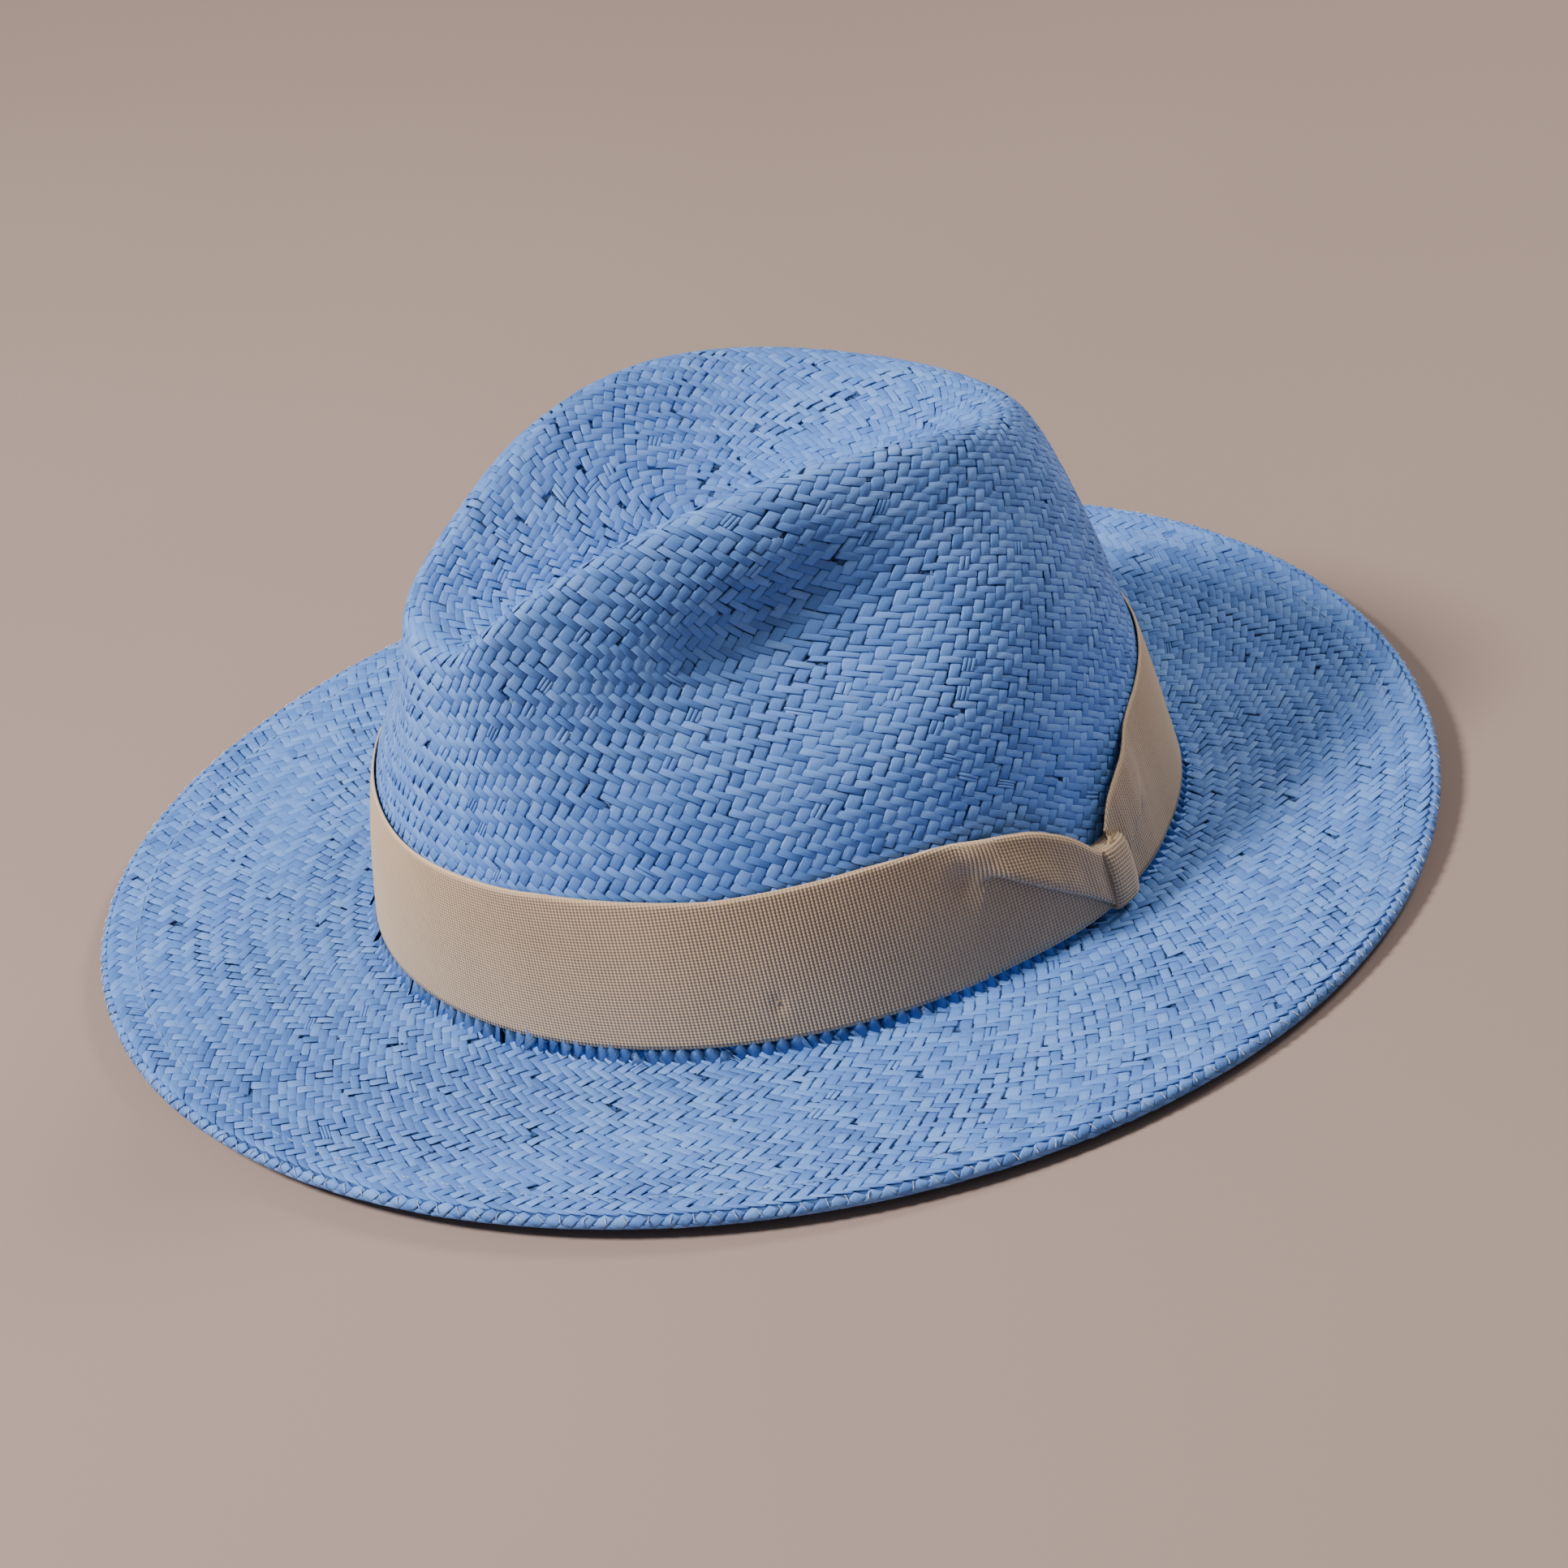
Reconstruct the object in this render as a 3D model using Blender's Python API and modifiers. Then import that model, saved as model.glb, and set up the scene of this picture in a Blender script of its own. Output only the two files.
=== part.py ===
"""Straw panama hat: a one-piece woven body with a folded, wired hem, a grosgrain band drawn into a
keeper on the wearer's left, and a sweatband inside. Front is -Y, the wearer's left is +X, metres."""
import math

import bmesh
import bpy
import numpy as np
from mathutils import Matrix, Vector

# ---------------------------------------------------------------- driving dimensions, metres
MM = 0.001
HALF_WIDTH = 91.0 * MM  # outside of the crown at its foot, half across
HALF_LENGTH = 101.5 * MM  # the same, half from front to back
STRAW = 1.1 * MM  # woven straw
GAP = 0.35 * MM  # left between pieces that touch
CROWN_SINK = 80.0 * MM  # height of the bottom of the crease at the crown's middle
CENTRE_BACK = 1.0 * MM  # the middle of the weave lies this far behind the hat's centre
RIDGE_ROUND_FRONT = 4.0 * MM
RIDGE_ROUND_SIDE = 5.2 * MM
RIDGE_ROUND_BACK = 10.0 * MM
SIDE_BULGE = 0.55
FRONT_BULGE, BULGE_TURN = 0.5, 0.6  # the fullest side of the front lies a little to the right
FOOT_DROP = 1.2 * MM  # the brim dips this far where it meets the crown
PINCH_DEPTH = 16.0 * MM
PINCH_Y, PINCH_Z = -38.0 * MM, 77.0 * MM
PINCH_LONG, PINCH_HIGH = 36.0 * MM, 16.0 * MM
PINCH_TILT = 0.16
BRIM = 63.0 * MM  # mean brim width; the front is wider than the back
BRIM_FRONT_EXTRA = 3.8 * MM
BRIM_SIDE_EXTRA = 0.75 * MM
BREAK_ROUND = 1.6 * MM  # softness of the corner between crown and brim
HEM = 8.5 * MM  # straw folded under the edge
HEM_GAP = 1.3 * MM  # room in the fold for the wire
WIRE_R = 0.3 * MM
THREAD_R = 0.2 * MM
HEM_STITCH = 7.0 * MM  # stitch line, in from the edge
BAND_LOW, BAND_HIGH, BAND_WAVE = 1.2 * MM, 39.2 * MM, 0.5 * MM
# How far the ribbon's upper edge has sunk at distances from the keeper, mm.
FALL_AT = (0, 4.5, 8, 16, 23, 30, 45, 60, 95, 115, 135, 160)
FALL = (18.0, 17.6, 14.2, 10.8, 8.8, 7.4, 6.1, 5.0, 4.4, 2.4, 0.5, 0.0)
DEGREE_ROUND = 1.68  # mm of ribbon to a degree
RIBBON = 0.6 * MM
BOW_AT = math.radians(95.0)  # the keeper's place round the crown, from the front
KEEPER_WIDE = 7.4 * MM
SWEAT_LOW, SWEAT_HIGH = -3.2 * MM, 32.0 * MM
SWEAT = 1.0 * MM
REED_R = 0.6 * MM
TACK_ANGLES = (-42.0, 44.0, 138.0, -140.0)
ROUND = 72  # steps round the hat
STAND = Vector((0.0, 3.66 * MM, 3.2 * MM))  # puts the hat over the origin, standing on z = 0

# Ridge of the crown by angle from the front: angle, across, along, height (degrees and mm).
RIDGE = (
    (0, 0.0, -97.0, 93.0),
    (8, 7.0, -94.0, 97.5),
    (18, 12.5, -83.0, 103.0),
    (30, 18.5, -66.5, 107.0),
    (45, 25.0, -47.0, 109.8),
    (60, 31.5, -29.0, 111.0),
    (75, 37.0, -12.5, 110.8),
    (90, 42.0, 3.5, 109.0),
    (105, 45.5, 19.5, 106.8),
    (120, 46.0, 35.0, 103.5),
    (135, 42.5, 48.0, 101.0),
    (150, 34.0, 59.5, 98.5),
    (165, 19.0, 68.0, 96.5),
    (180, 0.0, 71.0, 96.0),
    (195, -19.0, 68.0, 96.5),
    (210, -34.0, 59.5, 98.5),
    (225, -42.5, 48.0, 101.0),
    (240, -46.5, 35.0, 103.5),
    (255, -47.5, 20.0, 105.5),
    (270, -46.0, 4.0, 107.0),
    (285, -43.0, -12.0, 108.0),
    (300, -39.0, -28.0, 108.0),
    (315, -33.0, -47.0, 106.5),
    (330, -26.5, -67.5, 103.5),
    (342, -20.0, -84.5, 100.0),
    (352, -11.0, -94.5, 95.5),
)
# Height of the brim's edge over the crown's foot: mean, and first three harmonics from the front.
EDGE_HEIGHT = (4.05 * MM, -2.3 * MM, 2.55 * MM, -0.65 * MM)


# ---------------------------------------------------------------- the hat's form
def closed_spline(knots, values, at):
    """Periodic cubic spline through the values, one column each, at the given angles."""
    n = len(knots)
    step = np.diff(np.append(knots, knots[0] + 2 * math.pi))
    a = np.zeros((n, n))
    b = np.zeros((n, values.shape[1]))
    slope = (np.roll(values, -1, 0) - values) / step[:, None]
    for i in range(n):
        j = (i - 1) % n
        a[i, j] += step[j]
        a[i, i] += 2 * (step[j] + step[i])
        a[i, (i + 1) % n] += step[i]
        b[i] = 6 * (slope[i] - slope[j])
    bend = np.linalg.solve(a, b)
    at = np.mod(np.asarray(at, float), 2 * math.pi)
    k = np.searchsorted(knots, at, side="right") - 1
    h = step[k][:, None]
    u = (at - knots[k])[:, None]
    m0, m1 = bend[k], bend[(k + 1) % n]
    v0 = values[k]
    return v0 + u * (slope[k] - h * (2 * m0 + m1) / 6) + u**2 * m0 / 2 + u**3 * (m1 - m0) / (6 * h)


def ridge(at):
    """Points on the crown's ridge for each angle."""
    rows = np.array(RIDGE, float)
    return closed_spline(np.radians(rows[:, 0]), rows[:, 1:] * MM, at)


def smooth(line, sigma):
    """A polyline made even along its length, softened by a bell curve and kept in place at its ends."""
    step = np.linalg.norm(np.diff(line, axis=0), axis=1)
    s = np.append(0, np.cumsum(step))
    n = 420
    even = np.linspace(0, s[-1], n)
    p = np.stack([np.interp(even, s, line[:, c]) for c in range(3)], 1)
    d = even[1]
    reach = int(4 * sigma / d) + 1
    bell = np.exp(-((np.arange(-reach, reach + 1) * d / sigma) ** 2) / 2)
    bell /= bell.sum()
    head = 2 * p[0] - p[reach:0:-1]
    head[:, 2] = p[reach:0:-1, 2]
    tail = 2 * p[-1] - p[-2 : -2 - reach : -1]
    p = np.concatenate([head, p, tail])
    return np.stack([np.convolve(p[:, c], bell, mode="valid") for c in range(3)], 1)


def foot(at):
    """The crown's foot and the outward normal of its oval there."""
    p = np.array([HALF_WIDTH * math.sin(at), -HALF_LENGTH * math.cos(at), -FOOT_DROP])
    n = np.array([p[0] / HALF_WIDTH**2, p[1] / HALF_LENGTH**2, 0.0])
    return p, n / np.linalg.norm(n)


def pinch(p):
    """Pushes the two sides of the crown's front in."""
    y, z = p[:, 1] - PINCH_Y, p[:, 2] - PINCH_Z
    u = y * math.cos(PINCH_TILT) + z * math.sin(PINCH_TILT)
    v = z * math.cos(PINCH_TILT) - y * math.sin(PINCH_TILT)
    push = PINCH_DEPTH * np.exp(-((u / PINCH_LONG) ** 2) - (v / PINCH_HIGH) ** 2)
    push *= np.clip(np.abs(p[:, 0]) / (30 * MM), 0, 1)
    out = p.copy()
    out[:, 0] -= np.sign(p[:, 0]) * push
    return out


def meridian(at):
    """The hat's outside, in three lines: the middle of the crown to the brim's edge, the turn round
    the edge, and the hem's underside."""
    r = ridge([at])[0]
    base, out = foot(at)
    lam = np.linspace(0, 1, 160)
    front = max(math.cos(at), 0)
    power = 2.0 - 0.5 * front**4
    top = np.empty((160, 3))
    centre = np.array([0, CENTRE_BACK])
    top[:, :2] = centre + lam[:, None] * (r[:2] - centre)
    top[:, 2] = CROWN_SINK + (r[2] - CROWN_SINK) * lam**power
    t = np.linspace(0, 1, 160)[1:]
    side = r + (base - r) * t[:, None]
    way = base[:2] / np.linalg.norm(base[:2])
    lean = np.linalg.norm(base[:2] - r[:2])
    bulge = SIDE_BULGE + FRONT_BULGE * (1 + math.cos(at + BULGE_TURN)) / 2
    side[:, :2] += way * (lean * bulge * (1 - t) * t * (1.25 - 0.5 * t))[:, None]
    back = max(-math.cos(at), 0)
    sigma = RIDGE_ROUND_SIDE + (RIDGE_ROUND_BACK - RIDGE_ROUND_SIDE) * back
    sigma += (RIDGE_ROUND_FRONT - RIDGE_ROUND_SIDE) * front**3
    crown = pinch(smooth(np.concatenate([top, side]), sigma))
    wide = BRIM + BRIM_FRONT_EXTRA * math.cos(at) - BRIM_SIDE_EXTRA * math.cos(2 * at)
    high = sum(h * math.cos(i * at) for i, h in enumerate(EDGE_HEIGHT))
    t = np.linspace(0, 1, 120)[1:]
    flat = base + out * (wide * t)[:, None] + np.array([0, 0, 1]) * ((high + FOOT_DROP) * t**1.6)[:, None]
    line = smooth(np.concatenate([crown, flat]), BREAK_ROUND)
    along = line[-1] - line[-8]
    along /= np.linalg.norm(along)
    up = np.cross(along, [-out[1], out[0], 0.0])
    if up[2] < 0:
        up = -up
    fold = HEM_GAP / 2 + STRAW
    edge = line[-1] - along * fold
    keep = line[np.linalg.norm(line - line[-1], axis=1) > fold]
    a = np.linspace(math.pi / 2, -math.pi / 2, 9)
    turn = edge - up * fold + fold * (np.cos(a)[:, None] * along + np.sin(a)[:, None] * up)
    under = turn[-1] - along * np.linspace(0.2, 1, 5)[:, None] * HEM
    return keep, turn, under


def walk(line, s):
    """Points at distances along a polyline."""
    step = np.linalg.norm(np.diff(line, axis=0), axis=1)
    d = np.append(0, np.cumsum(step))
    return np.stack([np.interp(s, d, line[:, c]) for c in range(3)], 1), d[-1]


def ridge_length(at, whole):
    """How far along the line the ridge is, out of the crown's whole length."""
    r = ridge([at])[0]
    b = foot(at)[0]
    a_top = math.hypot(np.linalg.norm(r[:2] - (0, CENTRE_BACK)), r[2] - CROWN_SINK)
    a_wall = np.linalg.norm(r - b) * 1.03
    return whole * a_top / (a_top + a_wall)


ANGLES = np.arange(ROUND) * 2 * math.pi / ROUND
LINES = [meridian(a) for a in ANGLES]


def wall(at, height):
    """A point on the outside of the crown's wall at a height, with the outward normal, any angle."""
    k = at / (2 * math.pi) * ROUND
    i = int(math.floor(k))
    f = k - i
    pts = []
    for j in (i % ROUND, (i + 1) % ROUND):
        line = LINES[j][0]
        n = int(np.argmax(line[:, 2] < 60 * MM) if line[0, 2] > 60 * MM else 0)
        part = line[n:]
        low = int(np.argmin(np.abs(part[:, 2] - 0.9 * MM + FOOT_DROP)))
        part = part[:low][::-1]
        pts.append([np.interp(height, part[:, 2], part[:, c]) for c in (0, 1)] + [height])
    p = np.array(pts[0]) * (1 - f) + np.array(pts[1]) * f
    return p, foot(at)[1]


# ---------------------------------------------------------------- Blender helpers
for old in list(bpy.data.objects):
    bpy.data.objects.remove(old, do_unlink=True)
HAT = bpy.data.collections.new("panama_hat")
bpy.context.scene.collection.children.link(HAT)


def material(name, color, rough, metal=0.0):
    m = bpy.data.materials.new(name)
    m.use_nodes = True
    b = m.node_tree.nodes["Principled BSDF"]
    b.inputs["Base Color"].default_value = (*color, 1)
    b.inputs["Roughness"].default_value = rough
    b.inputs["Metallic"].default_value = metal
    return m


def add(name, verts, faces, mat):
    me = bpy.data.meshes.new(name)
    me.from_pydata([tuple(v) for v in verts], [], faces)
    me.validate()
    ob = bpy.data.objects.new(name, me)
    HAT.objects.link(ob)
    me.materials.append(mat)
    bm = bmesh.new()
    bm.from_mesh(me)
    bmesh.ops.recalc_face_normals(bm, faces=bm.faces)
    bm.to_mesh(me)
    bm.free()
    return ob


def thicken(ob, amount, offset):
    mod = ob.modifiers.new("thickness", "SOLIDIFY")
    mod.thickness = amount
    mod.offset = offset
    mod.use_even_offset = True
    mod.use_rim = True
    return mod


def ring_strip(rows):
    """Quads between closed rows of points."""
    n = len(rows[0])
    verts = [p for row in rows for p in row]
    faces = []
    for r in range(len(rows) - 1):
        for i in range(n):
            j = (i + 1) % n
            faces.append((r * n + i, r * n + j, (r + 1) * n + j, (r + 1) * n + i))
    return verts, faces


def face_out(ob, centre=(0, 0, 0.03)):
    """Turns a strip's faces away from a point."""
    me = ob.data
    total = 0
    for f in me.polygons:
        total += f.normal.dot(f.center - Vector(centre)) * f.area
    if total < 0:
        me.flip_normals()


def cord(name, points, radius, mat, sides=4):
    """A closed round cord through the points."""
    cu = bpy.data.curves.new(name + "_path", "CURVE")
    cu.dimensions = "3D"
    cu.bevel_depth = radius
    cu.bevel_resolution = max(0, (sides - 4) // 2)
    sp = cu.splines.new("POLY")
    sp.points.add(len(points) - 1)
    for q, p in zip(sp.points, points):
        q.co = (*p, 1)
    sp.use_cyclic_u = True
    tmp = bpy.data.objects.new(name + "_tmp", cu)
    HAT.objects.link(tmp)
    bpy.context.view_layer.update()
    me = bpy.data.meshes.new_from_object(tmp.evaluated_get(bpy.context.evaluated_depsgraph_get()))
    bpy.data.objects.remove(tmp, do_unlink=True)
    me.name = name
    me.materials.clear()
    me.materials.append(mat)
    ob = bpy.data.objects.new(name, me)
    HAT.objects.link(ob)
    return ob


STRAW_MAT = material("straw", (0.17, 0.34, 0.62), 0.55)
RIBBON_MAT = material("ribbon", (0.42, 0.33, 0.24), 0.8)
THREAD_MAT = material("thread", (0.75, 0.78, 0.82), 0.7)
WIRE_MAT = material("wire", (0.62, 0.63, 0.65), 0.35, 1.0)
SWEAT_MAT = material("sweatband", (0.33, 0.22, 0.14), 0.6)
REED_MAT = material("reed", (0.85, 0.85, 0.82), 0.4)
TAPE_MAT = material("tape", (0.38, 0.30, 0.22), 0.8)

# ---------------------------------------------------------------- straw body
TOP_SHARE = (0.2, 0.42, 0.62, 0.78, 0.88, 0.95)  # of the way from the middle to the ridge
WALL_SHARE = (0.0, 0.05, 0.12, 0.22, 0.35, 0.5, 0.66, 0.82)  # of the way from the ridge down
rows = []
for a, (keep, turn, under) in zip(ANGLES, LINES):
    gap = np.linalg.norm(keep - foot(a)[0], axis=1)
    corner = int(np.argmin(gap))
    crown, flat = keep[: corner + 1], keep[corner:]
    full = walk(crown, [0])[1]
    width = walk(flat, [0])[1]
    crest = ridge_length(a, full)
    near = full - 1.7 * MM
    stops = [crest * t for t in TOP_SHARE] + [crest + (near - crest) * t for t in WALL_SHARE]
    up, _ = walk(crown, np.array(stops + [near]))
    turn_in, _ = walk(flat, np.array([0, 1.8 * MM, 5 * MM]))
    brim, _ = walk(flat, width * np.array([0.35, 0.65, 0.9, 1.0]))
    rows.append(np.concatenate([up, turn_in, brim, turn[2::2], under[1::3]]))
rows = np.array(rows)
loops = [rows[:, k] for k in range(rows.shape[1])]
verts, faces = ring_strip(loops)
verts.append(np.array([0, CENTRE_BACK, LINES[0][0][0, 2]]))
pole = len(verts) - 1
for i in range(ROUND):
    faces.append((pole, (i + 1) % ROUND, i))
body = add("straw_body", verts, faces, STRAW_MAT)
face_out(body)
thicken(body, STRAW, -1.0)

# ---------------------------------------------------------------- wire and threads of the hem
wire, needle, bobbin, seam = [], [], [], []
for a, (keep, turn, under) in zip(ANGLES, LINES):
    wire.append((turn[0] + turn[-1]) / 2)
    flat_end, total = walk(keep[::-1], np.array([HEM_STITCH - 1.75 * MM]))
    along = turn[4] - (turn[0] + turn[-1]) / 2
    along /= np.linalg.norm(along)
    up = (turn[0] - turn[-1]) / np.linalg.norm(turn[0] - turn[-1])
    needle.append(flat_end[0] + up * (THREAD_R + GAP))
    bobbin.append(turn[-1] - along * (HEM_STITCH - 1.75 * MM) - up * (THREAD_R + GAP))
    gap = np.linalg.norm(keep - foot(a)[0], axis=1)
    corner = int(np.argmin(gap))
    q, _ = walk(keep[corner:], np.array([2.6 * MM, 3.0 * MM]))
    seam.append(q[0] + np.array([0, 0, THREAD_R + GAP + 0.1 * MM]))
cord("brim_wire", wire, WIRE_R, WIRE_MAT, 6)
cord("hem_needle_thread", needle, THREAD_R, THREAD_MAT)
cord("hem_bobbin_thread", bobbin, THREAD_R, THREAD_MAT)
cord("sweatband_thread", seam, THREAD_R, THREAD_MAT)


# ---------------------------------------------------------------- grosgrain band
def band_limits(at):
    """Lower and upper edge and stand-off of the ribbon; it is drawn in towards the keeper."""
    off = abs((at - BOW_AT + math.pi) % (2 * math.pi) - math.pi)
    near = math.degrees(off)
    k = min(max((near - 5.0) / 17.0, 0.0), 1.0)
    k = k * k * (3 - 2 * k)
    wave = BAND_WAVE * math.cos(2 * at)
    low = BAND_LOW + wave + (1 - k) * 0.9 * MM
    high = BAND_HIGH - np.interp(near * DEGREE_ROUND, FALL_AT, FALL) * MM
    stand = GAP + 0.15 * MM + (1 - k) * 2.2 * MM
    pleat = 1.2 * MM * math.exp(-((near - 13.0) / 6.0) ** 2)
    return low, high, stand, pleat


BAND_STEPS = 144
band_rows = [[] for _ in range(5)]
for i in range(BAND_STEPS):
    at = 2 * math.pi * i / BAND_STEPS
    low, high, stand, pleat = band_limits(at)
    for r in range(5):
        t = r / 4
        p, n = wall(at, low + (high - low) * t)
        bump = pleat * max(0.0, math.sin(math.pi * t)) ** 2
        band_rows[r].append(p + n * (stand + bump))
verts, faces = ring_strip(band_rows)
band = add("hat_band", verts, faces, RIBBON_MAT)
face_out(band)
thicken(band, RIBBON, 1.0)

# ---------------------------------------------------------------- keeper of the bow
low, high, stand, pleat = band_limits(BOW_AT)
pl, n = wall(BOW_AT, low)
ph, _ = wall(BOW_AT, high)
tangent = np.cross([0, 0, 1.0], n)
clear = 0.5 * MM
over = 1.9 * MM  # the ribbon's upper edge rises a little on both sides of the keeper
inner = -clear
outer = RIBBON + clear
section = []
for p, off, dz in (
    (pl, stand + inner, -clear),
    (pl, stand + outer, -clear),
    (pl, stand + outer + 0.5 * MM, 3 * MM),
    (ph, stand + outer + 0.5 * MM, -3 * MM),
    (ph, stand + outer, over),
    (ph, stand + inner, over),
):
    section.append(p + n * off + np.array([0, 0, dz]))
rings = []
for t in (-0.5, -0.25, 0.25, 0.5):
    sag = -(t * KEEPER_WIDE) ** 2 / (2 * HALF_LENGTH)
    rings.append([q + tangent * KEEPER_WIDE * t + n * sag for q in section])
verts, faces = ring_strip(rings)
keeper = add("bow_keeper", verts, faces, RIBBON_MAT)
middle = (pl + ph) / 2 + n * stand
face_out(keeper, tuple(middle))
thicken(keeper, 0.5 * MM, 1.0)

# ---------------------------------------------------------------- tacks that hold the ribbon
for k, deg in enumerate(TACK_ANGLES):
    at = math.radians(deg) % (2 * math.pi)
    p, n = wall(at, 9.0 * MM)
    q, _ = wall(at, 10.6 * MM)
    off = n * (GAP + 0.15 * MM + RIBBON + GAP + 0.25 * MM)
    bm = bmesh.new()
    bmesh.ops.create_cone(
        bm, cap_ends=True, segments=8, radius1=0.25 * MM, radius2=0.25 * MM, depth=2.2 * MM
    )
    me = bpy.data.meshes.new("band_tack_%d" % (k + 1))
    bm.to_mesh(me)
    bm.free()
    me.materials.append(THREAD_MAT)
    ob = bpy.data.objects.new("band_tack_%d" % (k + 1), me)
    HAT.objects.link(ob)
    axis = Vector(tuple(q - p)).normalized()
    turn = axis.to_track_quat("Z", "Y").to_matrix().to_4x4()
    me.transform(turn)
    me.transform(Matrix.Translation(Vector(tuple((p + q) / 2 + off))))

# ---------------------------------------------------------------- sweatband
sweat_heights = (SWEAT_LOW, 1.5 * MM, 10 * MM, 21 * MM, SWEAT_HIGH)
sweat_rows = []
for z in sweat_heights:
    row = []
    for a in ANGLES:
        p, n = wall(a, max(z, 6.0 * MM))
        b = foot(a)[0]
        if z < 6.0 * MM:
            p = b + (p - b) * 0.35
        q = p - n * (STRAW + GAP + 0.2 * MM)
        row.append(np.array([q[0], q[1], z]))
    sweat_rows.append(row)
verts, faces = ring_strip(sweat_rows)
sweat = add("sweatband", verts, faces, SWEAT_MAT)
face_out(sweat)
thicken(sweat, SWEAT, -1.0)

reed = []
for i, a in enumerate(ANGLES):
    q = np.array(sweat_rows[0][i]) + foot(a)[1] * (REED_R + GAP)
    reed.append(np.array([q[0], q[1], SWEAT_LOW + REED_R + 0.15 * MM]))
cord("sweatband_reed", reed, REED_R, REED_MAT, 6)

tape_rows = []
for z in (1.5 * MM, 15 * MM, 28 * MM):
    row = []
    for k in range(5):
        at = math.pi + (k - 2) * math.radians(2.6)
        p, n = wall(at, max(z, 6 * MM))
        q = p - n * (STRAW + GAP + 0.1 * MM + SWEAT + 0.55 * MM)
        row.append(np.array([q[0], q[1], z]))
    tape_rows.append(row)
verts = [p for row in tape_rows for p in row]
faces = []
for r in range(2):
    for k in range(4):
        faces.append((r * 5 + k, r * 5 + k + 1, r * 5 + k + 6, r * 5 + k + 5))
tape = add("sweatband_join_tape", verts, faces, TAPE_MAT)
face_out(tape)
thicken(tape, 0.5 * MM, -1.0)

# ---------------------------------------------------------------- stand the hat on the origin
for ob in HAT.objects:
    ob.data.transform(Matrix.Translation(STAND))
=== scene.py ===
"""Straw panama hat: woven straw over its whole form, a grosgrain band pleated into a keeper, a
leather sweatband inside. Front is -Y, the wearer's left is +X, metres."""
import functools
import math
from collections import namedtuple

import bmesh
import bpy
import numpy as np
from bpy.props import FloatProperty, FloatVectorProperty, IntProperty, PointerProperty
from bpy.types import Operator, Panel, PropertyGroup
from mathutils import Matrix, Vector


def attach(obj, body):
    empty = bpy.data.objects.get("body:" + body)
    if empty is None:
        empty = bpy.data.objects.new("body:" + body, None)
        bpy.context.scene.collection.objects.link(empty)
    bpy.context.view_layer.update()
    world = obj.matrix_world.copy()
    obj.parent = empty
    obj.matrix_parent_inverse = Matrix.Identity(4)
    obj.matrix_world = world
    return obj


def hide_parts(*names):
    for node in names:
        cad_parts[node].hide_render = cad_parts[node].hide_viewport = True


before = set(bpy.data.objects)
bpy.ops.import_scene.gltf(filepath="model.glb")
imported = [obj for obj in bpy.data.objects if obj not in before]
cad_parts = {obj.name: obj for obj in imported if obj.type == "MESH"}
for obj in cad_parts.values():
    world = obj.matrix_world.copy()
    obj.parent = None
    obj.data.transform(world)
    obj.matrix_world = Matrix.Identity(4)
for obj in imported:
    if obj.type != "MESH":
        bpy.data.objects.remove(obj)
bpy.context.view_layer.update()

bl_info = {
    "name": "Straw Panama Hat",
    "version": (1, 0, 0),
    "blender": (4, 5, 0),
    "location": "View3D > Sidebar > Hat",
    "description": "Weaves a straw hat, trims it with a ribbon and lines its head opening",
    "category": "Add Mesh",
}

MM = 0.001
FULL_TURN = 2 * math.pi

# ------------------------------------------------------------------ the hat's block
HALF_WIDTH = 91.0 * MM
HALF_LENGTH = 101.5 * MM
STRAW = 1.1 * MM
GAP = 0.35 * MM
CROWN_SINK = 80.0 * MM
CENTRE_BACK = 1.0 * MM
RIDGE_ROUND_FRONT, RIDGE_ROUND_SIDE, RIDGE_ROUND_BACK = 4.0 * MM, 5.2 * MM, 10.0 * MM
SIDE_BULGE = 0.55
FRONT_BULGE, BULGE_TURN = 0.5, 0.6
FOOT_DROP = 1.2 * MM
PINCH_DEPTH = 16.0 * MM
PINCH_Y, PINCH_Z = -38.0 * MM, 77.0 * MM
PINCH_LONG, PINCH_HIGH, PINCH_TILT = 36.0 * MM, 16.0 * MM, 0.16
BRIM, BRIM_FRONT_EXTRA, BRIM_SIDE_EXTRA = 63.0 * MM, 3.8 * MM, 0.75 * MM
BREAK_ROUND = 1.6 * MM
HEM, HEM_GAP = 8.5 * MM, 1.3 * MM
BAND_LOW, BAND_HIGH, BAND_WAVE = 1.2 * MM, 39.2 * MM, 0.5 * MM
# How far the ribbon's upper edge has sunk at distances from the keeper, front to back, mm.
FALL_AT = (-160, -135, -115, -95, -60, -45, -37, -29, -20, -12, -8, -4, -1,
           3, 8, 16, 23, 30, 45, 60, 95, 115, 135, 160)
FALL = (0, 0.5, 2.4, 4.4, 5.0, 6.2, 7.3, 8.8, 11.4, 16.2, 20.2, 24.4, 24.4,
        17.5, 14.2, 11, 8.9, 7.6, 6.1, 5.0, 4.4, 2.4, 0.5, 0)
DEGREE_ROUND = 1.68  # mm of ribbon to a degree
KEEPER_LOW, KEEPER_HIGH = 2.2 * MM, 14.2 * MM
KEEPER_HALF = 4.2 * MM
BOW_AT = math.radians(95.0)
SWEAT_LOW, SWEAT_HIGH = -3.2 * MM, 32.0 * MM
TACK_ANGLES = (-42.0, 44.0, 138.0, -140.0)
STAND = np.array((0.0, 3.66 * MM, 3.2 * MM))
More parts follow.
